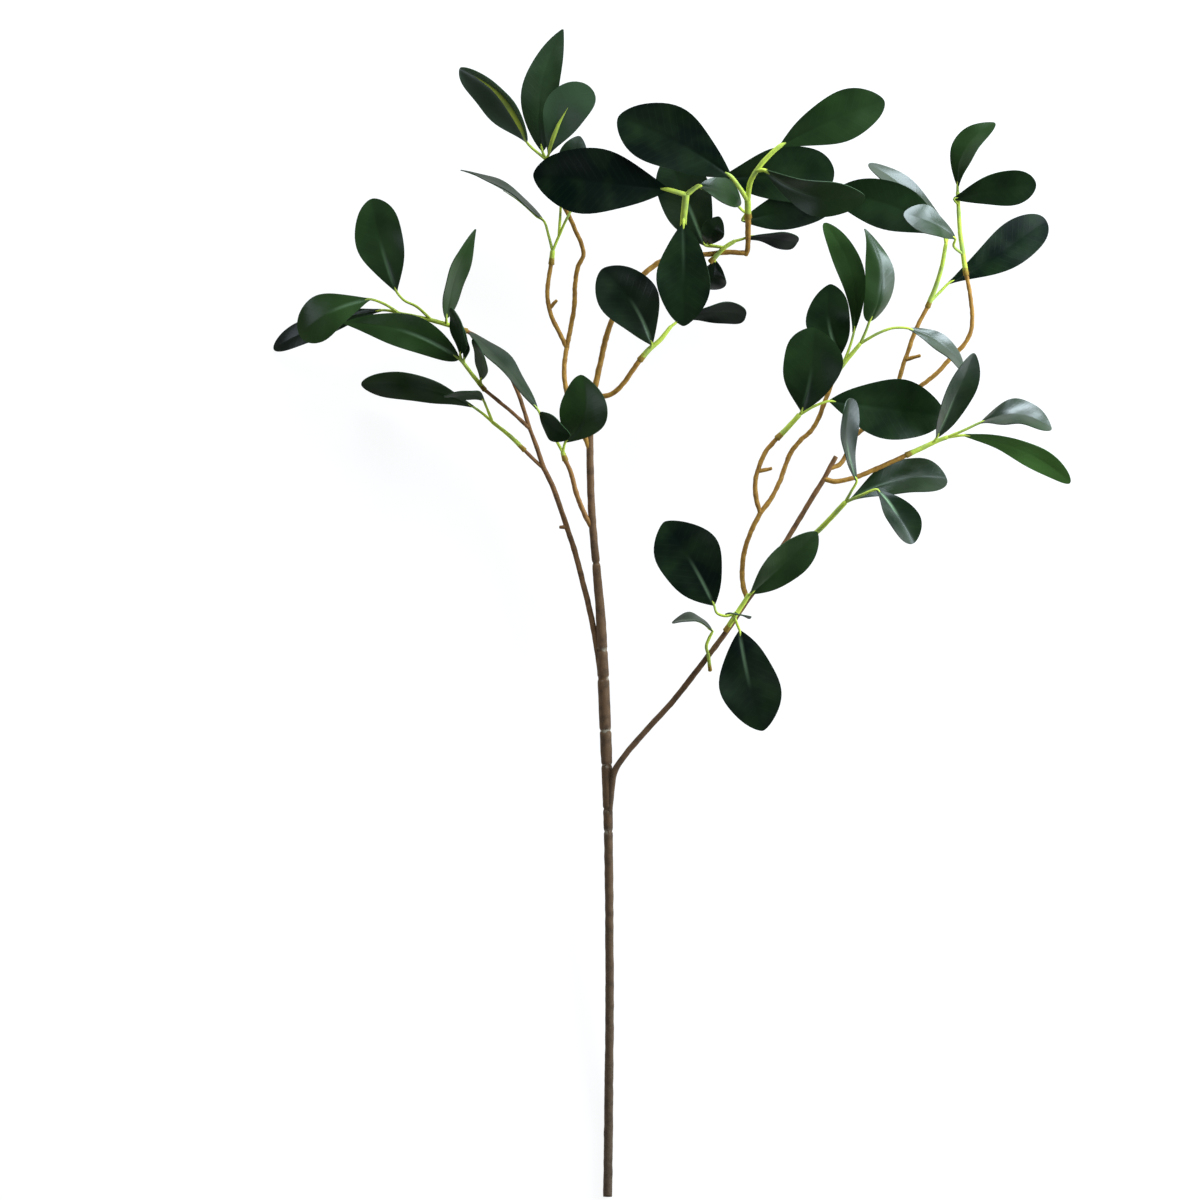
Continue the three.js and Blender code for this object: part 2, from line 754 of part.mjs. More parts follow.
const branch = new THREE.Group();
for (const piece of WOOD) {
  branch.add(meshOf(piece.name, seated(woodSolid(piece), piece.on), piece.finish));
}
for (const spray of SPRAYS) {
  branch.add(meshOf(spray.name, seated(spraySolid(spray), spray.on), FINISH.spray));
}

// The part's origin is under the middle of its box, on the surface that it lies on.
const box = new THREE.Box3().setFromObject(branch);
const middle = box.getCenter(new THREE.Vector3());
for (const mesh of branch.children) {
  mesh.position.set(-middle.x, -middle.y, -box.min.z);
}

export default branch;
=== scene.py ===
"""Dresses a cut ficus branch of the made kind: wrapped stems, moulded twigs and leafy sprays."""

import math

import bmesh
import bpy
from bpy.props import FloatProperty, FloatVectorProperty, IntProperty, PointerProperty
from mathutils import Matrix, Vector, geometry, noise


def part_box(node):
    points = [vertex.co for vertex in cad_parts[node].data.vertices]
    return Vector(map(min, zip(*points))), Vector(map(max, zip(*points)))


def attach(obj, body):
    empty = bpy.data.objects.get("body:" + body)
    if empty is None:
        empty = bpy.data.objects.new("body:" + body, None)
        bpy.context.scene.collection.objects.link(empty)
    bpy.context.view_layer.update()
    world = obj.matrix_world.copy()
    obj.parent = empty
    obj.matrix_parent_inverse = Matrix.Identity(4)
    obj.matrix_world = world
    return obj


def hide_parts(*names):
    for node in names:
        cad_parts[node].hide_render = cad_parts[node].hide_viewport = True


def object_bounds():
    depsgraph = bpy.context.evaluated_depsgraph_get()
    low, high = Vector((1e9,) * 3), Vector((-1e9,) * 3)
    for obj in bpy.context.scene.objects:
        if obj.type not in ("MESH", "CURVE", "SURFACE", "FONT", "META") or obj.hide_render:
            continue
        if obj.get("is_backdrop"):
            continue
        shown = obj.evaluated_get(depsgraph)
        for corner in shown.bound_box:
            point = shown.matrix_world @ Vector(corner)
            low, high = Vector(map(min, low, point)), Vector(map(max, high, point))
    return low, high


bl_info = {
    "name": "Ficus Branch",
    "version": (1, 0, 0),
    "blender": (4, 5, 0),
    "location": "View3D > Sidebar > Ficus Branch",
    "description": "Builds a cut ficus branch with wrapped stems, moulded twigs and satin leaves",
    "category": "Add Mesh",
}

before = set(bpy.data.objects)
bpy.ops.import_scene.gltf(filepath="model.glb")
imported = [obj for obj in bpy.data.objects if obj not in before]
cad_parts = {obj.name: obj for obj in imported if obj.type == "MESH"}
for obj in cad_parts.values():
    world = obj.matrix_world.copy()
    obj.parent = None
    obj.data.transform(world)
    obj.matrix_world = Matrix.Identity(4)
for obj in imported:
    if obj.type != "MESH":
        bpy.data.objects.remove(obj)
CAD_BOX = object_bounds()

MM = 0.001
UP = Vector((0, 0, 1))

# Places on the branch are in millimetres from the middle of the stem's cut end: X across the
# branch, Y along the stem towards the leaves, Z up from the surface that it lies on.
CUT_END = Vector((-1, 0, 3.6))
CUT_FACE_DEPTH = 0.2

# How a leaf lies unless its own entry says otherwise: roll and fold in degrees, arch, sway, wave
# and the stalk's radius in millimetres, belly as the share of its length at which it is widest.
# Tone runs from blackish to grass green, rib is the strength of its pale midrib together with a
# painted highlight streak along it, sheen its gloss, which leans to the left or right half, back
# shows its back, spine is how much thicker than usual its stalk's end is there and spine share how
# far along the leaf it runs.
LEAF_SHAPE = {
    "roll": 0, "fold": 8, "arch": 4, "sway": 0, "wave": 0.8, "belly": 0.56,
    "stalk_radius": 1.2, "tone": 0.2, "rib": 0, "sheen": 0.4, "lean": 0, "back": False,
    "spine": 1, "spine_share": 0.5,
}
# How full a leaf's outline is, and half its width at its base and tip, in millimetres.
FULLNESS = 1.7
BASE_HALF_WIDTH = 0.9
TIP_HALF_WIDTH = 0.6


def rod(points, start_radius, end_radius):
    """One stretch of stem, twig or shoot along its points, tapering between two radii."""
    return {"points": points, "start": start_radius, "end": end_radius}


def leaf(stalk, base, tip, width, **shape):
    """One leaf: the stalk's points before the base, then base, tip and width of the blade."""
    return {"stalk": stalk, "base": base, "tip": tip, "width": width, **LEAF_SHAPE, **shape}


# Woody pieces, each as its stretches.
WOOD = {
    "main_stem": [
        rod([
            (-1, 0, 3.6), (-0.5, 45, 3.6), (0.5, 150, 11), (0, 250, 20), (-1.5, 330, 27),
            (-4, 395, 33), (-6.2, 450, 38), (-9.5, 490, 41), (-13, 530, 43.5), (-14.5, 565, 46),
            (-15, 600, 48),
        ], 3.6, 2.8),
    ],
    "left_branch": [
        rod([
            (-4, 393, 33), (-9, 428, 35), (-15, 460, 36), (-20, 480, 36), (-27, 507, 36),
            (-33, 525, 36), (-39, 543, 36), (-44, 557, 36), (-51, 571, 37),
        ], 2.5, 2),
        rod([(-51, 571, 37), (-56, 586, 39), (-62, 602, 42)], 2, 1.6),
        rod([
            (-62, 602, 42), (-70, 627, 43), (-77, 643, 43), (-88, 662, 42.5), (-97, 670, 42),
            (-111, 678, 42),
        ], 1.6, 1.5),
        rod([(-62, 602, 42), (-75, 614, 46), (-86, 623, 49), (-97, 632, 52)], 1.5, 1.4),
        rod([(-51, 571, 37), (-59, 578, 37.5), (-66, 585, 38)], 1.5, 1.4),
        rod([(-33, 525, 36), (-38.5, 525, 38)], 1.8, 1.3),
    ],
    "middle_twig": [
        rod([
            (-13, 524, 43), (-20, 537, 47), (-26, 553, 52), (-30, 568, 55.5), (-34, 577, 58),
        ], 2.1, 1.8),
    ],
    "top_left_twig": [
        rod([
            (-14.8, 585, 47.3), (-20, 598, 50), (-28, 614, 52), (-34, 636, 53), (-35, 650, 53),
            (-33, 665, 53),
        ], 2.1, 1.9),
        rod([
            (-33, 665, 53), (-39, 677, 54.5), (-45, 690, 56), (-48, 705, 56.5), (-47, 719, 56),
            (-45, 730, 56),
        ], 1.8, 1.7),
        rod([
            (-33, 665, 53), (-30, 680, 54.5), (-27, 698, 55.5), (-26.5, 713, 56), (-24.5, 727, 56),
            (-20, 737, 56.5), (-21.5, 746, 57), (-26, 756, 58), (-31, 767, 59), (-37, 779, 60),
            (-44, 795, 62),
        ], 1.9, 1.7),
        rod([(-46.5, 695, 56), (-41, 701.5, 58)], 1.6, 1.2),
    ],
    "crown_twig": [
        rod([(-15, 597, 48), (-13.5, 614, 49), (-12, 628, 50)], 2.7, 2.4),
        rod([
            (-12, 628, 50), (-7, 652, 51), (0, 680, 51), (13, 707, 50), (29, 724, 48.5),
            (42, 733, 47.5), (58, 737, 46.5), (78, 738, 46), (92, 739.5, 46), (106, 739, 46),
        ], 2.3, 2),
        rod([(106.5, 737.5, 45.5), (108, 741, 47), (108.5, 752, 52), (108.5, 766, 60)], 2, 2.4),
        rod([
            (-12, 628, 50), (-4, 627, 51.5), (4, 630, 53), (12, 638, 55), (19, 648, 57),
            (24, 655, 58),
        ], 2.1, 1.9),
    ],
    "right_branch": [
        rod([
            (-0.5, 294, 24.5), (2, 318, 28), (4.5, 334, 31), (12, 346, 33), (30, 367, 35.5),
            (50, 389, 38), (78, 425, 41.5), (90, 441, 43), (98, 452.5, 44.5), (104, 462, 45.5),
            (111, 472, 46.5), (125, 493, 48), (140, 517, 49), (160, 550, 50.5), (168, 563, 51),
            (177, 580, 52),
        ], 2.5, 1.9),
    ],
    "right_lower_twig": [
        rod([
            (108.5, 468.5, 46), (105.5, 476, 46), (104, 486, 46.5), (104.5, 498, 48),
            (107, 511, 50), (112, 524, 52.5), (118, 536, 55),
        ], 2, 1.9),
        rod([
            (118, 536, 55), (115, 546, 57), (114, 559, 59.5), (117, 572, 61.5), (122.5, 584, 63),
            (131, 594, 64),
        ], 1.9, 1.8),
        rod([
            (118, 536, 55), (126, 546.5, 55), (133, 560, 54.5), (138, 574, 54), (142.5, 584, 53.5),
            (150, 593, 53), (158, 600.5, 52.5), (164, 611, 52), (168, 622, 52), (172, 632, 52),
            (175, 641, 52),
        ], 1.9, 1.8),
        rod([(117, 568.5, 61), (126.5, 570.5, 63)], 1.7, 1.4),
    ],
    "right_side_twig": [
        rod([
            (168, 562.5, 51), (175, 560.5, 51.5), (186, 562, 52), (197, 565.5, 52), (210, 571, 52),
            (222, 576.5, 52), (232, 581, 52),
        ], 2, 1.8),
    ],
    "right_upper_twig": [
        rod([
            (172, 571, 51.5), (179, 573, 50), (184.5, 580, 48), (188, 589, 46), (193, 597, 44),
            (202, 604, 42), (214, 615, 40),
        ], 1.9, 1.9),
        rod([
            (214, 615, 40), (222, 628, 38.5), (227, 641, 37.5), (230, 652, 37), (234, 663, 37),
            (238, 675, 37.5), (243, 686, 37.8), (249, 697, 38),
        ], 1.8, 1.7),
        rod([
            (214, 615, 40), (228, 625, 37), (243, 635, 35), (256, 645, 34.5), (268, 658, 35),
            (277, 667, 36), (282.5, 677, 37), (284, 688, 38), (283, 701, 39.5), (281, 713, 41),
            (279, 722, 42),
        ], 1.8, 1.7),
        rod([(231, 655.5, 37), (243, 659, 39)], 1.6, 1.3),
    ],
}

# Leafy sprays: the green shoot from its seat upwards, and its leaves.
SPRAYS = {
    "left_tip_spray": (
        rod([(-111, 678, 42), (-126, 683, 42), (-145, 688, 41), (-164, 692, 40)], 2, 1.4),
        [
            leaf(
                [(-138, 686, 41.5), (-150, 697, 44), (-160, 702, 46)],
                (-166, 709, 47), (-185, 781, 58), 38,
                sway=-2, belly=0.62, rib=0.35, tone=0.25, sheen=0.3,
            ),
            leaf(
                [(-164, 692, 40), (-175, 699, 42)], (-187, 703, 43), (-242, 675, 30), 33,
                arch=8, sway=5, belly=0.66, tone=0.55, rib=0.5, sheen=0.3,
            ),
            leaf(
                [(-164, 692, 40), (-171, 694, 38)], (-178, 694.5, 36), (-263, 665, 0.5), 19,
                sway=5, belly=0.64, tone=0.1, sheen=0.6,
            ),
            leaf(
                [(-127, 683, 42)], (-127, 688, 45), (-104, 757, 60), 28,
                roll=60, sway=-3, belly=0.44, tone=0.4,
            ),
        ],
    ),
    "left_inner_spray": (
        rod([(-97, 632, 52), (-106, 643, 57), (-115, 655, 61)], 1.8, 1.4),
        [
            leaf(
                [(-113, 652, 60)], (-117, 656, 62), (-207, 684, 58), 27,
                sway=8, belly=0.42, tone=0.4, rib=0.8, sheen=0.3,
            ),
            leaf(
                [(-115, 655, 61)], (-116, 660, 64), (-122, 695, 86), 26,
                roll=-65, sway=3, sheen=0.1,
            ),
            leaf(
                [(-113, 652, 60)], (-113, 656, 62), (-116, 684, 76), 12,
                roll=-64, sway=3, sheen=0.1,
            ),
            leaf(
                [(-100, 636, 54)], (-100, 640, 58), (-105, 671, 86), 18,
                roll=-62, sway=3, tone=0.25, sheen=0.25,
            ),
        ],
    ),
    "left_low_spray": (
        rod([(-66, 585, 38), (-76, 595, 37), (-91, 607, 35)], 1.8, 1.4),
        [
            leaf(
                [(-91, 607, 35), (-99, 614, 34)], (-106, 619, 33), (-194, 637, 14), 36,
                roll=-56, sway=7, belly=0.62, sheen=0.12,
            ),
            leaf(
                [(-91, 607, 35), (-95, 617, 41)], (-98, 624, 46), (-128, 627, 66), 20,
                roll=-70, sway=4, tone=0.25, sheen=0.15,
            ),
        ],
    ),
    "middle_spray": (
        rod([(-34, 577, 58), (-36, 583, 59)], 2.1, 1.8),
        [
            leaf(
                [(-36, 583, 59), (-42, 594, 61), (-50, 607, 63)],
                (-56, 617, 64), (-109, 677, 48), 24,
                roll=60, sway=3.5, tone=0.15, sheen=0.5,
            ),
            leaf(
                [(-50, 607, 63)], (-54, 613, 65), (-30, 596, 90), 24,
                roll=50, sway=3, sheen=0.1,
            ),
            leaf([(-36, 583, 59)], (-34, 591, 61), (-21, 643, 86), 38, sway=9, tone=0.4, sheen=0.3),
        ],
    ),
    "top_left_spray": (
        rod([(-44, 795, 62), (-49, 811, 66)], 2.1, 1.8),
        [
            leaf(
                [(-49, 811, 66)], (-52, 818, 67), (-36, 913, 58), 29,
                sway=-9, belly=0.46, sheen=0.5,
            ),
            leaf(
                [(-49, 811, 66)], (-47, 815, 69), (-18, 869, 88), 35,
                sway=-4, belly=0.7, tone=0.4, back=True, spine=2.6, spine_share=0.65,
            ),
            leaf(
                [(-49, 811, 66)], (-64, 824.5, 68), (-116, 882, 72), 40,
                roll=-40, fold=42, sway=9, tone=0.1, back=True, spine=4, spine_share=0.85,
                sheen=0.9, lean=-0.7,
            ),
        ],
    ),
    "top_left_side_spray": (
        rod([(-45, 730, 56), (-44, 740, 56.5)], 2.1, 1.9),
        [
            leaf(
                [(-44, 740, 56.5), (-47, 752, 55)], (-51, 764, 53), (-116, 804, 36), 32,
                roll=80, sway=5, tone=0.15, sheen=0.5,
            ),
            leaf(
                [(-44, 740, 56.5), (-39, 752, 58), (-33, 765, 63)],
                (-27, 775, 62), (12, 800, 56), 26,
                tone=0.1,
            ),
            leaf([(-39, 752, 58), (-38, 768, 56)], (-37, 782, 54.5), (-23, 830, 52), 24, tone=0.1),
        ],
    ),
    "crown_left_spray": (
        rod([(58, 737, 47), (57.5, 748, 60), (58, 764, 74), (60, 783, 82)], 2.2, 2.7),
        [
            leaf(
                [(60, 783, 82)], (46, 787, 85), (-59, 799, 80), 51,
                arch=6, belly=0.6, stalk_radius=2.1, tone=0, sheen=0.2,
            ),
            leaf(
                [(60, 783, 82)], (70, 790, 83), (103, 778, 60), 26,
                roll=-40, sway=-3, stalk_radius=2.1, tone=0.3, sheen=0.6,
            ),
            leaf([(58, 766, 75)], (58, 761, 80), (58, 681, 82), 41, tone=0.1, rib=0.1, sheen=0.15),
        ],
    ),
    "crown_tip_spray": (
        rod([(108.5, 766, 60), (108, 779, 68)], 2.5, 2.5),
        [
            leaf(
                [(108, 779, 68), (102, 788, 78)], (95, 797, 85), (7, 843, 96), 49,
                sway=4, belly=0.62, stalk_radius=2, tone=0.05, sheen=0.25,
            ),
            leaf(
                [(108, 779, 68), (110, 793, 76), (117, 805, 82), (126, 815, 85)],
                (133, 821, 86), (214, 856, 88), 38,
                sway=-2, belly=0.62, stalk_radius=2.2, tone=0.25, sheen=0.2,
            ),
            leaf(
                [(115, 802, 81)], (121, 802, 86), (199, 780, 92), 32,
                roll=36, sway=9, belly=0.62, stalk_radius=1.8, tone=0.25, rib=0.2, sheen=0.35,
            ),
            leaf(
                [(108.3, 769, 62), (103, 773, 53)], (86, 797, 48), (176, 802, 44), 46,
                belly=0.66, tone=0.1, sheen=0.2,
            ),
            leaf([(108.3, 771, 63)], (104, 764, 51), (178, 781, 29), 31, tone=0.1, sheen=0.2),
        ],
    ),
    "crown_back_spray": (
        rod([(79, 732, 47), (85, 738, 48.5), (90, 743, 50), (98, 748, 50)], 1.9, 1.6),
        [
            leaf(
                [(98, 748, 50)], (105, 750, 49), (147, 747, 36), 25,
                roll=62, sway=-2.5, belly=0.78, tone=0.05, sheen=0.2,
            ),
            leaf([(79, 732, 47)], (83, 733, 42), (80, 711, 26), 22, tone=0.1),
            leaf([(90, 743, 50)], (77, 746, 49), (86, 767, 62), 18, tone=0.15),
            # Its pale rib streak is a painted highlight along the midrib.
            leaf(
                [(90, 743, 50), (82, 744, 46)], (75, 745, 44), (46, 815, 46), 42,
                rib=0.6, tone=0.1,
            ),
        ],
    ),
    "crown_low_spray": (
        rod([(24, 655, 58), (30, 662, 59), (40, 671, 57), (48, 681, 54)], 2.3, 1.6),
        [
            # Its pale rib streak is a painted highlight along the midrib.
            leaf(
                [(30, 662, 59)], (33.5, 667, 61), (-5, 726, 76), 44,
                sway=5, belly=0.62, tone=0.1, rib=0.7, sheen=0.5,
            ),
            leaf(
                [(48, 681, 54)], (53, 685, 52), (107, 690, 38), 28,
                roll=56, sway=-5.5, belly=0.74, tone=0.05, sheen=0.15,
            ),
        ],
    ),
    "right_base_spray": (
        rod([(91, 444, 46), (98, 455, 48.5), (104, 464, 49.5), (109, 472, 51)], 2, 1.7),
        [
            leaf(
                [(100, 458, 49), (91, 455.5, 51), (84, 458, 53)], (82, 464, 55), (43, 529, 66), 50,
                sway=2, tone=0.05, rib=0.5, sheen=0.2,
            ),
            leaf([(109, 472, 51)], (111, 473, 55), (162, 521, 68), 34, roll=35, sway=1, tone=0.35),
            leaf(
                [(98, 455, 48.5), (100, 449, 52)], (102, 444, 53), (120, 366, 60), 46,
                sway=2, tone=0.05, rib=0.45, sheen=0.3,
            ),
            leaf([(97.5, 454.5, 48.2)], (99, 457, 53), (108, 455.5, 88), 18, roll=90),
        ],
    ),
    "right_base_sprig": (
        rod([(79, 413, 40), (77.5, 425, 44), (76, 432, 46), (79, 440, 47)], 1.4, 1.2),
        [
            leaf(
                [(79, 440, 47)], (81, 444, 48), (49, 450, 52), 26,
                roll=78, sway=6, sheen=0.6,
            ),
        ],
    ),
    "right_round_spray": (
        rod([(131, 594, 64), (139, 602, 66), (148, 612, 68)], 2.2, 1.9),
        [
            leaf(
                [(148, 612, 68)], (150, 615, 70), (159, 680, 84), 47,
                sway=3, belly=0.6, rib=0.2, sheen=0.2,
            ),
            leaf(
                [(148, 612, 68), (160, 619, 68)], (172, 623, 68), (263, 611, 48), 47,
                tone=0.15, sheen=0.2,
            ),
        ],
    ),
    "right_tall_spray": (
        rod([(175, 641, 52), (182, 651, 54), (196, 668, 57)], 2.1, 1.5),
        [
            leaf(
                [(182, 651, 54)], (180, 659, 58), (172, 714, 70), 35,
                sway=-5, tone=0.15, rib=0.5, sheen=0.2,
            ),
            leaf(
                [(182, 651, 54), (187, 663, 55)], (191, 677, 56), (168, 762, 62), 21,
                roll=8, sway=10, belly=0.62, tone=0.45, sheen=0.2,
            ),
            leaf(
                [(196, 668, 57), (200, 677, 60)], (203, 685, 63), (199, 757, 74), 28,
                roll=25, fold=-20, arch=8, sway=11, belly=0.38, tone=0.4, sheen=0.7, lean=0.9,
            ),
            leaf(
                [(196, 668, 57), (210, 676, 61), (222, 680, 63)],
                (234, 679.5, 64), (277, 646, 50), 18,
                roll=-46, sway=-6, sheen=1.3,
            ),
        ],
    ),
    "right_far_spray": (
        rod([(249, 697, 38), (256, 715, 42), (260, 729, 45), (263, 746, 48)], 2, 1.5),
        [
            leaf(
                [(263, 746, 48)], (261, 755, 50), (174, 785, 58), 38,
                sway=6, tone=0.15, sheen=0.2,
            ),
            leaf(
                [(263, 746, 48)], (265, 756, 43), (203, 809, 34), 20,
                roll=46, sway=4, belly=0.64, sheen=1.1,
            ),
            leaf(
                [(252, 702, 39), (260, 710, 35)], (266, 716, 32), (343, 766, 0.5), 33,
                sway=2, belly=0.68, tone=0.06, sheen=0.08,
            ),
        ],
    ),
    "right_tip_spray": (
        rod([
            (279, 722, 42), (276.5, 738, 45), (274, 755, 48), (273, 770, 50), (272, 786, 52),
        ], 2, 1.5),
        [
            leaf(
                [(276.5, 738, 45), (269, 744, 52)], (270, 750, 60), (229, 768, 82), 25,
                roll=36, sway=3, belly=0.62, sheen=1.1,
            ),
            leaf(
                [(272, 786, 52)], (272, 791, 53), (301, 840, 60), 26,
                roll=-40, sway=-10, tone=0.3, sheen=0.2,
            ),
            leaf(
                [(272.5, 777, 51)], (269, 781, 54), (333, 793, 58), 29,
                roll=20, sway=-1, belly=0.66, tone=0.15, sheen=0.2,
            ),
        ],
    ),
    "right_side_spray": (
        rod([(232, 581, 52), (245, 587, 52.5), (257, 592.5, 53), (264, 595, 53)], 2.1, 1.6),
        [
            leaf(
                [(252, 590, 53)], (256, 595, 56), (284, 660, 80), 30,
                roll=40, fold=20, tone=0.15, rib=0.4, sheen=0.9, lean=-0.5,
            ),
            leaf(
                [(264, 595, 53), (276, 600, 56)], (290, 606.5, 58), (345, 601, 64), 30,
                roll=-45, fold=14, sway=-9, wave=2, sheen=1.2, lean=-0.3,
            ),
            leaf(
                [(264, 595, 53)], (277, 596.5, 52), (361, 560, 26), 19,
                roll=25, sway=-7.5, belly=0.64, tone=1.2, sheen=0.2,
            ),
        ],
    ),
    "right_mid_spray": (
        rod([
            (132, 504, 48.5), (148, 511, 49), (162, 521, 51), (173, 532, 55), (184, 544, 60),
        ], 2.1, 2),
        [
            # Its pale rib streak is a painted highlight along the fold.
            leaf(
                [(184, 544, 60), (189, 553, 65)], (193, 561, 68), (186, 624, 92), 26,
                roll=55, fold=20, sway=-4.5, belly=0.72, tone=0.1, rib=0.7, sheen=1,
            ),
            leaf(
                [(184, 544, 60)], (188, 546, 54), (264, 563, 36), 36,
                roll=-30, fold=20, arch=2, sway=-7, wave=2, belly=0.68,
                rib=0.2,
            ),
            # Its pale rib streak is a painted highlight along the fold.
            leaf(
                [(184, 544, 60), (197, 550, 68)], (209, 554, 72), (237, 512, 78), 30,
                roll=-30, fold=26, sway=-2, belly=0.64, tone=0.1, rib=1, lean=0.5,
            ),
        ],
    ),
}

STEM_NAMES = ("main_stem", "left_branch", "right_branch")
TWIG_NAMES = tuple(name for name in WOOD if name not in STEM_NAMES)

# The stem swells where both side branches are bound to it, and is pinched where it is tied.
SWELLING = {"radius": 1.6, "at": 0.64, "spread": 0.14}
STEM_RINGS = (287, 304.5, 339, 366, 407, 429, 497)
# How far each stem's colour goes from grey taupe to red brown, at its start and at its end.
WARMTH = {"main_stem": (0.0, 0.4), "left_branch": (0.4, 1.0), "right_branch": (0.1, 0.8)}
# Twigs that are browner than the others.
TWIG_SHADE = {"middle_twig": 0.7}

# Gloss of the leaves' shiny and dull parts and of the wood.
LEAF_IOR = 1.7
DULL_LEVEL = 0.0
BARK_LEVEL = 0.2

CURVE_POINTS = 12
MERGE_DISTANCE = 1e-6
CAP_RINGS = 3

# How far the rounded ends of stems, twigs, stalks and shoots stand out, in millimetres.
STEM_CAP = 0.3
TWIG_CAP = 0.8
STALK_CAP = 0.3
SHOOT_CAP = 1.0
# Spread of the knobs, and height of the green ones, in metres.
STEM_KNOB_SIZE = 0.006
TWIG_KNOB_SIZE = 0.0035
GREEN_KNOB_SIZE = 0.004
STALK_KNOB = 0.0001
SHOOT_KNOB = 0.00018

# Shares and sizes of a leaf's finer shape, in millimetres where they are sizes: how soft its fold
# is, how its columns crowd at the midrib, its buckles, the waves of its edges with the turn between
# its two edges, and how stalk and spine thin out.
FOLD_SOFTNESS = 4
COLUMN_CROWDING = 1.35
BUCKLE = 1.3
BUCKLE_SIZE = 22
EDGE_WAVE = 0.05
EDGE_WAVES = 1.4
EDGE_TURN = 2.1
STALK_TAPER = 0.8
SPINE_TAPER = 0.25
SPINE_STEPS = (0.15, 0.4, 0.7, 1)
SPINE_SINK = 0.7
# A shoot's collar on its twig and the length of its brown root.
COLLAR_SWELL = 0.18
COLLAR_LENGTH = 4
ROOT_COLOUR_LENGTH = 9

# The middle of the picture on the branch, in millimetres.
FRAME_MIDDLE = (-7, 468, 0)
# Soft lights: offset from the picture's middle and size, in metres.
SOFTBOXES = {
    "key": ((1.75, 0.45, 0.62), (1.5, 0.9)),
    "back": ((0.5, 1.75, 0.62), (1.5, 0.9)),
    "fill": ((-1.2, -0.8, 1.6), (1.0, 1.0)),
}
LIGHT_COLOUR = (0.78, 0.9, 1.0)
FLOOR_COLOUR = (0.18, 0.18, 0.18, 1)
WHITE = (1, 1, 1, 1)


class WoodSettings(bpy.types.PropertyGroup):
    """Sizes and colours of the stems and twigs."""

    stem_sides: IntProperty(name="Stem sides", description="Sides round a stem", default=24, min=8)
    twig_sides: IntProperty(name="Twig sides", description="Sides round a twig", default=14, min=6)
    step: FloatProperty(
        name="Step", description="Length of mesh between two rings", default=0.0015, unit="LENGTH"
    )
    ring_depth: FloatProperty(
        name="Ring depth", description="Depth of a tied ring in the stem",
        default=0.0008, unit="LENGTH",
    )
    ring_width: FloatProperty(
        name="Ring width", description="Half width of a tied ring", default=0.0012, unit="LENGTH"
    )
    stem_knob: FloatProperty(
        name="Stem knobs", description="Height of the stem's knobs", default=0.00028, unit="LENGTH"
    )
    twig_knob: FloatProperty(
        name="Twig knobs", description="Height of the twigs' knobs", default=0.0004, unit="LENGTH"
    )
    stem_grey: FloatVectorProperty(
        name="Grey bark", description="Bark near the cut end", subtype="COLOR", size=4,
        default=(0.078, 0.05, 0.029, 1),
    )
    stem_red: FloatVectorProperty(
        name="Red bark", description="Bark of the thin branches", subtype="COLOR", size=4,
        default=(0.25, 0.115, 0.038, 1),
    )
    ring_pale: FloatVectorProperty(
        name="Pale ring", description="Glue in the tied rings", subtype="COLOR", size=4,
        default=(0.4, 0.35, 0.26, 1),
    )
    twig_caramel: FloatVectorProperty(
        name="Caramel", description="Main colour of the twigs", subtype="COLOR", size=4,
        default=(0.41, 0.215, 0.038, 1),
    )
    twig_dark: FloatVectorProperty(
        name="Dark caramel", description="Hollows of the twigs", subtype="COLOR", size=4,
        default=(0.2, 0.09, 0.02, 1),
    )


class LeafSettings(bpy.types.PropertyGroup):
    """Sizes and colours of the leafy sprays."""

    rows: IntProperty(name="Rows", description="Mesh rows along a leaf", default=30, min=6)
    columns: IntProperty(
        name="Columns", description="Mesh columns across a leaf", default=16, min=4
    )
    stalk_sides: IntProperty(
        name="Stalk sides", description="Sides round a stalk", default=10, min=5
    )
    stalk_step: FloatProperty(
        name="Stalk step", description="Length between two stalk rings",
        default=0.002, unit="LENGTH",
    )
    thickness: FloatProperty(
        name="Thickness", description="Thickness of a leaf", default=0.0008, unit="LENGTH"
    )
    groove_depth: FloatProperty(
        name="Groove depth", description="Depth of the midrib's groove",
        default=0.0005, unit="LENGTH",
    )
    groove_width: FloatProperty(
        name="Groove width", description="Half width of the groove", default=0.0011, unit="LENGTH"
    )
    vein_spacing: FloatProperty(
        name="Vein spacing", description="Distance between two side veins",
        default=0.006, unit="LENGTH",
    )
    dark_green: FloatVectorProperty(
        name="Dark green", description="Darkest leaves", subtype="COLOR", size=4,
        default=(0.002, 0.0055, 0.0034, 1),
    )
    grass_green: FloatVectorProperty(
        name="Grass green", description="Lightest leaves", subtype="COLOR", size=4,
        default=(0.046, 0.105, 0.023, 1),
    )
    back_green: FloatVectorProperty(
        name="Back green", description="Backs of the leaves", subtype="COLOR", size=4,
        default=(0.035, 0.07, 0.03, 1),
    )
    # Colour of the pale midribs and of the painted highlight streaks along them.
    rib_and_highlight_green: FloatVectorProperty(
        name="Rib green", description="Pale midribs", subtype="COLOR", size=4,
        default=(0.15, 0.24, 0.13, 1),
    )
    shoot_lime: FloatVectorProperty(
        name="Lime", description="Shoots and stalks", subtype="COLOR", size=4,
        default=(0.5, 0.6, 0.085, 1),
    )
    shoot_root: FloatVectorProperty(
        name="Shoot root", description="Shoots where they sit on a twig", subtype="COLOR", size=4,
        default=(0.3, 0.19, 0.04, 1),
    )


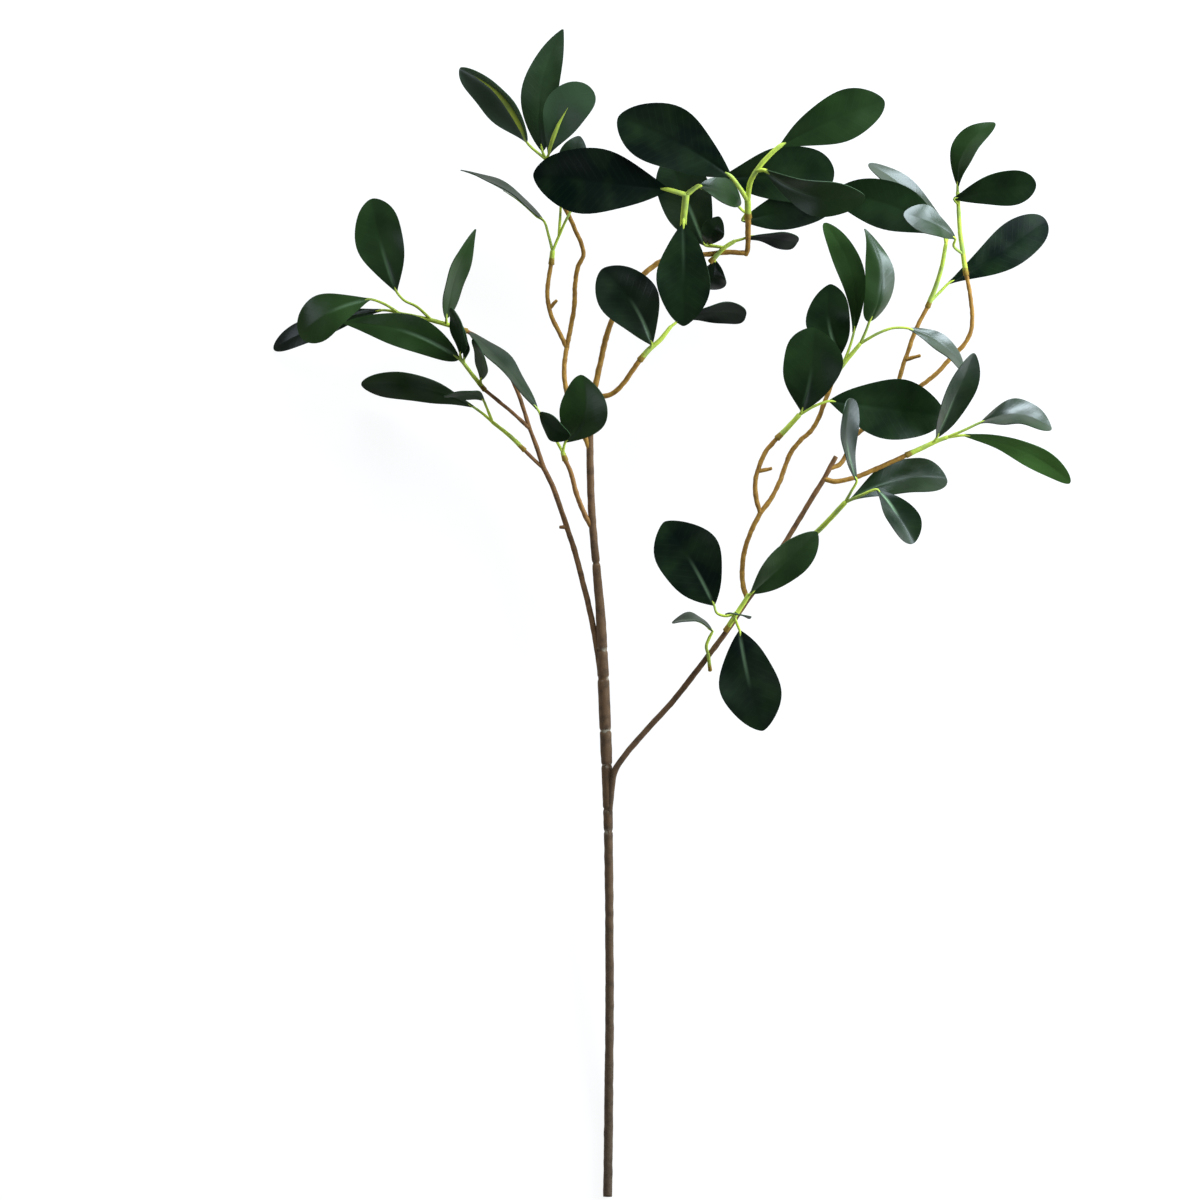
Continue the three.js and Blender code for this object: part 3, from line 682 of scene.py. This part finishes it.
class StageSettings(bpy.types.PropertyGroup):
    """Camera, floor and lights."""

    camera_height: FloatProperty(
        name="Camera height", description="Camera above the floor", default=9.0, unit="LENGTH"
    )
    sight_height: FloatProperty(
        name="Sight height", description="Height at which the frame is measured", default=0.055,
        unit="LENGTH",
    )
    frame_width: FloatProperty(
        name="Frame width", description="Width that the picture takes in",
        default=0.936, unit="LENGTH",
    )
    floor_size: FloatProperty(
        name="Floor size", description="Side of the floor", default=16, unit="LENGTH"
    )
    floor_glow: FloatProperty(name="Floor glow", description="Backlight of the floor", default=0.88)
    key_power: FloatProperty(
        name="Key power", description="Light from the right", default=60, unit="POWER"
    )
    back_power: FloatProperty(
        name="Back power", description="Light from the top", default=60, unit="POWER"
    )
    fill_power: FloatProperty(
        name="Fill power", description="Light from the left", default=12, unit="POWER"
    )
    sky: FloatProperty(name="Sky", description="Strength of the even light all round", default=0.08)


class Wire:
    """One socket of a material, so that shader maths reads as plain expressions."""

    def __init__(self, tree, socket=None):
        self.tree = tree
        self.socket = socket

    def node(self, kind, settings, inputs, output=0):
        """Adds a node: its settings are set first, then its inputs get values or wires."""
        made = self.tree.nodes.new(kind)
        for name, value in settings.items():
            setattr(made, name, value)
        for name, value in inputs.items():
            if isinstance(value, Wire):
                self.tree.links.new(value.socket, made.inputs[name])
            else:
                made.inputs[name].default_value = value
        return Wire(self.tree, made.outputs[output])

    def maths(self, operation, first, second=0.0):
        return self.node("ShaderNodeMath", {"operation": operation}, {0: first, 1: second})

    def __add__(self, other):
        return self.maths("ADD", self, other)

    __radd__ = __add__

    def __sub__(self, other):
        return self.maths("SUBTRACT", self, other)

    def __rsub__(self, other):
        return self.maths("SUBTRACT", other, self)

    def __mul__(self, other):
        return self.maths("MULTIPLY", self, other)

    __rmul__ = __mul__

    def __truediv__(self, other):
        return self.maths("DIVIDE", self, other)

    def __abs__(self):
        return self.maths("ABSOLUTE", self)

    def attribute(self, name):
        return self.node("ShaderNodeAttribute", {"attribute_name": name}, {}, "Fac")

    def noise(self, scale, detail=3.0):
        """Soft spots of about 1 / scale metres over the piece, from 0 to 1."""
        spot = self.node("ShaderNodeTexCoord", {}, {}, "Object")
        inputs = {"Vector": spot, "Scale": scale, "Detail": detail}
        return self.node("ShaderNodeTexNoise", {}, inputs)

    def bump(self, height, strength, depth):
        """A normal from a height, for dents of about a depth in metres."""
        inputs = {"Strength": strength, "Distance": depth, "Height": height}
        return self.node("ShaderNodeBump", {}, inputs)

    def smooth(self, value, low, high):
        """0 below low, 1 above high and a smooth step between."""
        limits = {"Value": value, "From Min": low, "From Max": high}
        return self.node("ShaderNodeMapRange", {"interpolation_type": "SMOOTHSTEP"}, limits)

    def mix(self, share, first, second):
        """A colour between two colours."""
        inputs = {0: share, 6: tuple_of(first), 7: tuple_of(second)}
        return self.node("ShaderNodeMix", {"data_type": "RGBA"}, inputs, 2)


def tuple_of(colour):
    return colour if isinstance(colour, Wire) else tuple(colour)


def finish(name, paint, constants):
    """A material whose varying inputs come from paint and whose other inputs are constants.

    Where paint gives a sheen, a second shader without gloss shows where the sheen is missing.
    """
    material = bpy.data.materials.new(name)
    material.use_nodes = True
    tree = material.node_tree
    shader = tree.nodes["Principled BSDF"]
    for socket, value in constants.items():
        shader.inputs[socket].default_value = value
    wires = paint(Wire(tree))
    sheen = wires.pop("Sheen", None)
    for socket, wire in wires.items():
        tree.links.new(wire.socket, shader.inputs[socket])
    if sheen:
        start = Wire(tree)
        flat = {"Specular IOR Level": DULL_LEVEL, **wires}
        dull = start.node("ShaderNodeBsdfPrincipled", {}, flat)
        glossy = Wire(tree, shader.outputs[0])
        mixed = start.node("ShaderNodeMixShader", {}, {0: sheen, 1: dull, 2: glossy})
        tree.links.new(mixed.socket, tree.nodes["Material Output"].inputs["Surface"])
    return material


def bark_paint(settings):
    """Wrapped bark: taupe to red brown, with fine streaks and pale glue in the tied rings."""

    def paint(wire):
        spots = wire.noise(140, 4)
        grain = wire.noise(900, 2)
        colour = wire.mix(wire.attribute("warmth"), settings.stem_grey, settings.stem_red)
        shade = [channel * 0.5 for channel in settings.stem_grey[:3]] + [1]
        colour = wire.mix(wire.smooth(spots, 0.42, 0.7) * 0.6, colour, shade)
        colour = wire.mix(wire.smooth(grain, 0.55, 0.75) * 0.12, colour, settings.ring_pale)
        glue = wire.attribute("ring") * wire.smooth(wire.noise(260), 0.48, 0.62) * 0.8
        colour = wire.mix(glue, colour, settings.ring_pale)
        bump = wire.bump(grain, 0.35, 0.0004)
        return {"Base Color": colour, "Roughness": 0.5 + 0.3 * spots, "Normal": bump}

    return paint


def twig_paint(settings):
    """Moulded caramel bark, darker in its hollows."""

    def paint(wire):
        spots = wire.noise(220, 4)
        grain = wire.noise(1300, 3)
        hollow = wire.smooth(spots, 0.62, 0.38)
        colour = wire.mix(0.1 + 0.5 * hollow, settings.twig_caramel, settings.twig_dark)
        colour = wire.mix(wire.attribute("shade"), colour, settings.stem_red)
        bump = wire.bump(spots + 0.4 * grain, 0.5, 0.0004)
        return {"Base Color": colour, "Roughness": 0.45 + 0.25 * grain, "Normal": bump}

    return paint


def leaf_paint(settings):
    """Satin leaf with a paler back, faint side veins, a pale midrib with a painted highlight
    along it, and lime shoots and stalks.
    """

    def paint(wire):
        run = wire.attribute("run")
        reach = abs(wire.attribute("reach"))
        shoot = wire.attribute("shoot")
        spots = wire.noise(45, 2)
        spacing = settings.vein_spacing / MM
        phase = wire.maths("FRACT", (run - reach * 0.75) / spacing)
        vein = wire.smooth(abs(phase - 0.5), 0.38, 0.5) * wire.smooth(reach, 1.0, 4.0)
        # Pale midrib over part of the leaf's length; where rib is strong it is a painted highlight
        # streak.
        share = wire.attribute("share")
        rib_and_highlight_streak = wire.smooth(share, 0.0, 0.15) * wire.smooth(share, 0.62, 0.25)
        midrib_and_highlight = wire.smooth(reach, 2.2, 0.1) * rib_and_highlight_streak
        green = wire.mix(
            wire.attribute("tone") + 0.35 * (spots - 0.5), settings.dark_green, settings.grass_green
        )
        green = wire.mix(vein * 0.05, green, settings.back_green)
        green = wire.mix(midrib_and_highlight * wire.attribute("rib"), green, settings.rib_and_highlight_green)
        back = wire.mix(midrib_and_highlight * 0.5, settings.back_green, settings.rib_and_highlight_green)
        blade = wire.mix(wire.attribute("under"), green, back)
        root = wire.smooth(wire.attribute("root") + 0.8 * (wire.noise(500) - 0.5), 0.35, 0.6)
        patches = wire.smooth(wire.noise(90), 0.4, 0.7) * 0.5
        lime = wire.mix(patches, settings.shoot_lime, settings.rib_and_highlight_green)
        stalk = wire.mix(root, lime, settings.shoot_root)
        colour = wire.mix(shoot, blade, stalk)
        height = (1 - shoot) * (0.4 * vein + 0.3 * wire.noise(120)) + shoot * wire.noise(700)
        bump = wire.bump(height, 0.25, 0.0003)
        rough = 0.34 + 0.12 * wire.attribute("under") + 0.12 * shoot + 0.12 * (spots - 0.5)
        sheen = wire.attribute("sheen") * wire.smooth(wire.noise(30, 1), 0.1, 0.6)
        return {"Base Color": colour, "Roughness": rough, "Normal": bump, "Sheen": sheen}

    return paint


def branch_origin():
    """The branch's own origin in the frame, found from the stem's cut face."""
    corners = [vertex.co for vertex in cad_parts["main_stem"].data.vertices]
    lowest = min(corner.y for corner in corners)
    face = [corner for corner in corners if corner.y < lowest + CUT_FACE_DEPTH * MM]
    middle = [(min(axis) + max(axis)) / 2 for axis in zip(*face)]
    return Vector(middle) - CUT_END * MM


ORIGIN = branch_origin()


def place(point):
    """A place on the branch, given in millimetres, in the frame."""
    return ORIGIN + Vector(point) * MM


def evenly(dense, step):
    """Even points about a step apart along a dense line of points."""
    runs = [0.0]
    for start, end in zip(dense, dense[1:]):
        runs.append(runs[-1] + (end - start).length)
    count = max(3, round(runs[-1] / step))
    points = []
    stretch = 0
    for i in range(count + 1):
        goal = runs[-1] * i / count
        while stretch < len(dense) - 2 and runs[stretch + 1] < goal:
            stretch += 1
        share = (goal - runs[stretch]) / (runs[stretch + 1] - runs[stretch])
        points.append(dense[stretch].lerp(dense[stretch + 1], share))
    return points


def centre_line(points, step):
    """Even points along the smooth curve through a list of points."""
    ends = [points[0] * 2 - points[1], *points, points[-1] * 2 - points[-2]]
    dense = []
    for before, start, end, after in zip(ends, ends[1:], ends[2:], ends[3:]):
        steps = ((before, start), (start, end), (end, after))
        into, on, out = (math.sqrt((b - a).length) for a, b in steps)
        leave = (start - before) / into - (end - before) / (into + on) + (end - start) / on
        arrive = (end - start) / on - (after - start) / (on + out) + (after - end) / out
        handles = (start, start + leave * on / 3, end - arrive * on / 3, end)
        dense.extend(geometry.interpolate_bezier(*handles, CURVE_POINTS)[:-1])
    return evenly([*dense, points[-1]], step)


def rings_along(points, step, radius_at, end_length):
    """Rings of a tube: middle, direction, radius and distance from the start, with capped ends."""
    line = centre_line([place(point) for point in points], step)
    rings = []
    run = 0.0
    for i, middle in enumerate(line):
        before = line[max(i - 1, 0)]
        after = line[min(i + 1, len(line) - 1)]
        run += (middle - before).length
        rings.append({"middle": middle, "along": (after - before).normalized(), "run": run})
    for ring in rings:
        ring["radius"] = radius_at(ring["run"] / run, ring)
    return [*cap(rings[0], -end_length), *rings, *reversed(cap(rings[-1], end_length))]


def cap(ring, end_length):
    """Rings that close a tube's end, from its pole to the ring."""
    made = []
    for i in range(CAP_RINGS):
        turn = math.radians(90 * (1 - i / CAP_RINGS))
        out = ring["along"] * (end_length * math.sin(turn))
        radius = 0.0 if i == 0 else ring["radius"] * math.cos(turn)
        made.append({**ring, "middle": ring["middle"] + out, "radius": radius})
    return made


def tube(bm, rings, sides, knob, knob_size, mark):
    """A closed knobbly tube through rings, made from a grid that is rolled up."""
    made = bmesh.ops.create_grid(bm, x_segments=sides, y_segments=len(rings) - 1, size=1)["verts"]
    for vert in made:
        turn = (vert.co.x + 1) * math.pi
        ring = rings[round((vert.co.y + 1) / 2 * (len(rings) - 1))]
        side = ring["along"].cross(UP).normalized()
        out = side * math.cos(turn) + side.cross(ring["along"]) * math.sin(turn)
        surface = ring["middle"] + out * ring["radius"]
        vert.co = surface + out * (knob * noise.noise(surface / knob_size) if ring["radius"] else 0)
        mark(vert, ring)
    faces = list({face for vert in made for face in vert.link_faces})
    bmesh.ops.remove_doubles(bm, verts=made, dist=MERGE_DISTANCE)
    bmesh.ops.recalc_face_normals(bm, faces=[face for face in faces if face.is_valid])


def piece(name, bm, material):
    """Makes a bmesh the shown piece of the CAD node of the same name."""
    mesh = bpy.data.meshes.new(name)
    for face in bm.faces:
        face.smooth = True
    bm.to_mesh(mesh)
    bm.free()
    mesh.materials.append(material)
    made = bpy.data.objects.new(f"{name}_piece", mesh)
    bpy.context.scene.collection.objects.link(made)
    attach(made, "root")
    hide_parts(name)
    return made


def taper(stretch, share):
    """A stretch's radius in millimetres at a share of its length."""
    return stretch["start"] + (stretch["end"] - stretch["start"]) * share


def stem_radius(name, stretch, settings):
    """A function that gives a stem's radius at a share of its length."""

    def radius_at(share, ring):
        radius = taper(stretch, share)
        if name != "main_stem":
            return radius * MM
        off = (share - SWELLING["at"]) / SWELLING["spread"]
        radius += SWELLING["radius"] * math.exp(-(off**2))
        return radius * MM - settings.ring_depth * ring_share(ring, settings)

    return radius_at


def ring_share(ring, settings):
    """How deep in a tied ring a place on the main stem is, from 0 to 1."""
    height = ring["middle"].y - ORIGIN.y
    width = settings.ring_width
    return max(math.exp(-(((height - tied * MM) / width) ** 2)) for tied in STEM_RINGS)


def build_stem(name, settings, material):
    bm = bmesh.new()
    warmth = bm.verts.layers.float.new("warmth")
    tied = bm.verts.layers.float.new("ring")
    cool, warm = WARMTH[name]
    low, high = (corner.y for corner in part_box(name))

    def mark(vert, ring):
        vert[warmth] = cool + (warm - cool) * (ring["middle"].y - low) / (high - low)
        vert[tied] = ring_share(ring, settings) if name == "main_stem" else 0

    for stretch in WOOD[name]:
        radius_at = stem_radius(name, stretch, settings)
        rings = rings_along(stretch["points"], settings.step, radius_at, STEM_CAP * MM)
        tube(bm, rings, settings.stem_sides, settings.stem_knob, STEM_KNOB_SIZE, mark)
    return piece(name, bm, material)


def build_twig(name, settings, material):
    bm = bmesh.new()
    shade = bm.verts.layers.float.new("shade")

    def mark(vert, ring):
        vert[shade] = TWIG_SHADE.get(name, 0)

    for stretch in WOOD[name]:
        rings = rings_along(
            stretch["points"],
            settings.step,
            lambda share, ring: taper(stretch, share) * MM,
            TWIG_CAP * MM,
        )
        tube(bm, rings, settings.twig_sides, settings.twig_knob, TWIG_KNOB_SIZE, mark)
    return piece(name, bm, material)


def leaf_frame(entry):
    """The leaf's base, chord and directions: level, right, upper face's normal and blade's side."""
    base = Vector(entry["base"])
    chord = Vector(entry["tip"]) - base
    axis = chord.normalized()
    level = (UP - axis * axis.z).normalized()
    right = axis.cross(level)
    roll = math.radians(entry["roll"])
    normal = level * math.cos(roll) + right * math.sin(roll)
    return {
        "base": base, "chord": chord, "level": level, "right": right,
        "normal": normal, "side": axis.cross(normal),
    }


def half_width(entry, share):
    """Half the blade's width at a share of its length."""
    base_power = FULLNESS * entry["belly"]
    tip_power = FULLNESS - base_power
    widest = entry["belly"] ** base_power * (1 - entry["belly"]) ** tip_power
    outline = max(share, 0) ** base_power * max(1 - share, 0) ** tip_power / widest
    least = BASE_HALF_WIDTH + (TIP_HALF_WIDTH - BASE_HALF_WIDTH) * share
    return least + (entry["width"] / 2 - least) * outline


def blade_point(entry, lay, share, across, lift):
    """A point of the blade: share from base to tip, across from -1 to 1, lift in millimetres."""
    fold = math.radians(entry["fold"])
    bow = 4 * share * (1 - share)
    reach = half_width(entry, share) * across
    edge = math.tau * EDGE_WAVES * share + entry["base"][0] + (EDGE_TURN if across > 0 else 0)
    reach *= 1 + EDGE_WAVE * abs(across) * math.sin(edge)
    spot = lay["base"] + lay["chord"] * share + lay["side"] * reach
    buckle = BUCKLE * bow * noise.noise(spot / BUCKLE_SIZE)
    ripple = entry["wave"] * abs(across) * bow * math.sin(3 * math.pi * share + 2 * across)
    folded = (math.hypot(reach, FOLD_SOFTNESS) - FOLD_SOFTNESS) * math.sin(fold)
    return (
        lay["base"]
        + lay["chord"] * share
        + lay["level"] * (entry["arch"] * bow)
        + lay["right"] * (entry["sway"] * bow)
        + lay["normal"] * (folded + ripple + buckle + lift)
        + lay["side"] * (reach * math.cos(fold))
    )


def add_blade(bm, layers, entry, settings):
    """A leaf's blade: a grid laid on its form and given a thickness downwards."""
    lay = leaf_frame(entry)
    length = lay["chord"].length
    half = settings.thickness / MM / 2
    grid = {"x_segments": settings.columns, "y_segments": settings.rows, "size": 1}
    top = bmesh.ops.create_grid(bm, **grid)["verts"]
    for vert in top:
        across = math.copysign(abs(vert.co.x) ** COLUMN_CROWDING, vert.co.x)
        share = (1 + math.sin(vert.co.y * math.pi / 2)) / 2
        reach = half_width(entry, share) * across
        groove = settings.groove_depth / MM * math.exp(-((reach * MM / settings.groove_width) ** 2))
        sink = groove * (1 - share) * (-1 if entry["back"] else 1)
        vert.co = place(blade_point(entry, lay, share, across, half - sink))
        vert[layers["run"]] = share * length
        vert[layers["share"]] = share
        vert[layers["reach"]] = reach
        vert[layers["tone"]] = entry["tone"]
        vert[layers["rib"]] = entry["rib"]
        vert[layers["sheen"]] = entry["sheen"] * (1 + entry["lean"] * across)
        vert[layers["under"]] = entry["back"]
    bm.normal_update()
    known = set(bm.verts)
    faces = list({face for vert in top for face in vert.link_faces})
    bmesh.ops.solidify(bm, geom=faces, thickness=settings.thickness)
    for vert in bm.verts:
        if vert not in known:
            vert[layers["under"]] = not entry["back"]
    for face in faces:
        for edge in face.edges:
            rim = [other for other in edge.link_faces if other not in faces]
            for other in rim:
                for sharp in other.edges:
                    sharp.smooth = False


def add_stalk(bm, layers, entry, settings):
    """A leaf's stalk, which runs on as a tapering spine along the back of the blade."""
    lay = leaf_frame(entry)
    lift = settings.thickness / MM / 2
    lift = lift if entry["back"] else -lift - SPINE_SINK * entry["stalk_radius"]
    shares = [entry["spine_share"] * part for part in SPINE_STEPS]
    spine = [blade_point(entry, lay, share, 0, lift) for share in shares]
    points = [*entry["stalk"], entry["base"], *spine]
    spine_length = lay["chord"].length * entry["spine_share"]
    whole = sum((Vector(b) - Vector(a)).length for a, b in zip(points, points[1:]))
    leaving = 1 - spine_length / whole

    def radius_at(share, ring):
        radius = entry["stalk_radius"] * MM
        if share < leaving:
            return radius * (1 + (STALK_TAPER - 1) * share / leaving)
        along = (share - leaving) / (1 - leaving)
        thicker = 1 + (entry["spine"] - 1) * math.sin(math.pi * along)
        return radius * STALK_TAPER * thicker * (1 + (SPINE_TAPER - 1) * along)

    def mark(vert, ring):
        vert[layers["shoot"]] = 1

    rings = rings_along(points, settings.stalk_step, radius_at, STALK_CAP * MM)
    tube(bm, rings, settings.stalk_sides, STALK_KNOB, GREEN_KNOB_SIZE, mark)


def add_shoot(bm, layers, shoot, settings):
    """A spray's shoot, with a collar and a brown root where it sits on its twig."""

    def radius_at(share, ring):
        collar = 1 + COLLAR_SWELL * math.exp(-ring["run"] / (COLLAR_LENGTH * MM))
        return taper(shoot, share) * MM * collar

    def mark(vert, ring):
        vert[layers["shoot"]] = 1
        vert[layers["root"]] = max(0, 1 - ring["run"] / (ROOT_COLOUR_LENGTH * MM))

    rings = rings_along(shoot["points"], settings.stalk_step, radius_at, SHOOT_CAP * MM)
    tube(bm, rings, settings.stalk_sides, SHOOT_KNOB, GREEN_KNOB_SIZE, mark)


def build_spray(name, settings, material):
    bm = bmesh.new()
    names = ("run", "share", "reach", "tone", "rib", "sheen", "under", "shoot", "root")
    for layer in names:
        bm.verts.layers.float.new(layer)
    layers = {layer: bm.verts.layers.float[layer] for layer in names}
    shoot, leaves = SPRAYS[name]
    add_shoot(bm, layers, shoot, settings)
    for entry in leaves:
        add_blade(bm, layers, entry, settings)
        add_stalk(bm, layers, entry, settings)
    return piece(name, bm, material)


def softbox(name, middle, offset, size, power):
    """A soft square light beside the branch that faces its middle."""
    light = bpy.data.lights.new(name, "AREA")
    light.shape = "RECTANGLE"
    light.size, light.size_y = size
    light.energy = power
    light.color = LIGHT_COLOUR
    made = bpy.data.objects.new(name, light)
    made.location = middle + Vector(offset)
    made.rotation_euler = Vector(offset).to_track_quat("Z", "Y").to_euler()
    bpy.context.scene.collection.objects.link(made)


def floor(settings):
    """A plain pale floor, lit a little from below."""
    bm = bmesh.new()
    bmesh.ops.create_grid(bm, x_segments=1, y_segments=1, size=settings.floor_size / 2)
    mesh = bpy.data.meshes.new("floor")
    bm.to_mesh(mesh)
    bm.free()
    constants = {
        "Base Color": FLOOR_COLOUR,
        "Roughness": 0.9,
        "Emission Color": WHITE,
        "Emission Strength": settings.floor_glow,
    }
    mesh.materials.append(finish("pale_floor", lambda wire: {}, constants))
    made = bpy.data.objects.new("floor", mesh)
    bpy.context.scene.collection.objects.link(made)
    made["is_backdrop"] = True


class FICUS_BRANCH_OT_stems(bpy.types.Operator):
    """Builds the wrapped stem and the two branches bound to it"""

    bl_idname = "ficus_branch.stems"
    bl_label = "Stems"

    def execute(self, context):
        settings = context.scene.ficus_branch_wood
        material = finish("wrapped_bark", bark_paint(settings), {"Specular IOR Level": BARK_LEVEL})
        for name in STEM_NAMES:
            build_stem(name, settings, material)
        return {"FINISHED"}


class FICUS_BRANCH_OT_twigs(bpy.types.Operator):
    """Builds the moulded twigs"""

    bl_idname = "ficus_branch.twigs"
    bl_label = "Twigs"

    def execute(self, context):
        settings = context.scene.ficus_branch_wood
        material = finish("caramel_twig", twig_paint(settings), {"Specular IOR Level": BARK_LEVEL})
        for name in TWIG_NAMES:
            build_twig(name, settings, material)
        return {"FINISHED"}


class FICUS_BRANCH_OT_sprays(bpy.types.Operator):
    """Builds the leafy sprays"""

    bl_idname = "ficus_branch.sprays"
    bl_label = "Leafy Sprays"

    def execute(self, context):
        settings = context.scene.ficus_branch_leaf
        material = finish("satin_leaf", leaf_paint(settings), {"IOR": LEAF_IOR})
        for name in SPRAYS:
            build_spray(name, settings, material)
        return {"FINISHED"}


class FICUS_BRANCH_OT_stage(bpy.types.Operator):
    """Sets up the floor, the lights and the camera"""

    bl_idname = "ficus_branch.stage"
    bl_label = "Stage"

    def execute(self, context):
        settings = context.scene.ficus_branch_stage
        middle = place(FRAME_MIDDLE)
        middle.z = settings.sight_height
        floor(settings)
        for name, (offset, size) in SOFTBOXES.items():
            softbox(f"{name}_softbox", middle, offset, size, getattr(settings, f"{name}_power"))
        world = bpy.data.worlds.new("studio")
        world.use_nodes = True
        background = world.node_tree.nodes["Background"]
        background.inputs["Color"].default_value = WHITE
        background.inputs["Strength"].default_value = settings.sky
        context.scene.world = world
        context.scene.view_settings.view_transform = "Standard"
        camera = bpy.data.cameras.new("camera")
        sight = settings.camera_height - settings.sight_height
        camera.lens = camera.sensor_width * sight / settings.frame_width
        made = bpy.data.objects.new("camera", camera)
        made.location = (middle.x, middle.y, settings.camera_height)
        context.scene.collection.objects.link(made)
        context.scene.camera = made
        return {"FINISHED"}


class FICUS_BRANCH_PT_parts(bpy.types.Panel):
    """Lists the branch's pieces"""

    bl_idname = "FICUS_BRANCH_PT_parts"
    bl_label = "Ficus Branch"
    bl_space_type = "VIEW_3D"
    bl_region_type = "UI"
    bl_category = "Ficus Branch"

    def draw(self, context):
        for operator in OPERATORS:
            self.layout.operator(operator.bl_idname)


SETTINGS = {
    "ficus_branch_wood": WoodSettings,
    "ficus_branch_leaf": LeafSettings,
    "ficus_branch_stage": StageSettings,
}
OPERATORS = (
    FICUS_BRANCH_OT_stems,
    FICUS_BRANCH_OT_twigs,
    FICUS_BRANCH_OT_sprays,
    FICUS_BRANCH_OT_stage,
)


def register():
    for name, group in SETTINGS.items():
        bpy.utils.register_class(group)
        setattr(bpy.types.Scene, name, PointerProperty(type=group))
    for made in (*OPERATORS, FICUS_BRANCH_PT_parts):
        bpy.utils.register_class(made)


def unregister():
    for made in (FICUS_BRANCH_PT_parts, *reversed(OPERATORS)):
        bpy.utils.unregister_class(made)
    for name, group in SETTINGS.items():
        delattr(bpy.types.Scene, name)
        bpy.utils.unregister_class(group)


def main():
    register()
    bpy.ops.ficus_branch.stems()
    bpy.ops.ficus_branch.twigs()
    bpy.ops.ficus_branch.sprays()
    bpy.ops.ficus_branch.stage()
    boxes = {"cad": CAD_BOX, "visual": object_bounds()}
    {name: [list(corner) for corner in box] for name, box in boxes.items()}


if __name__ == "__main__":
    main()
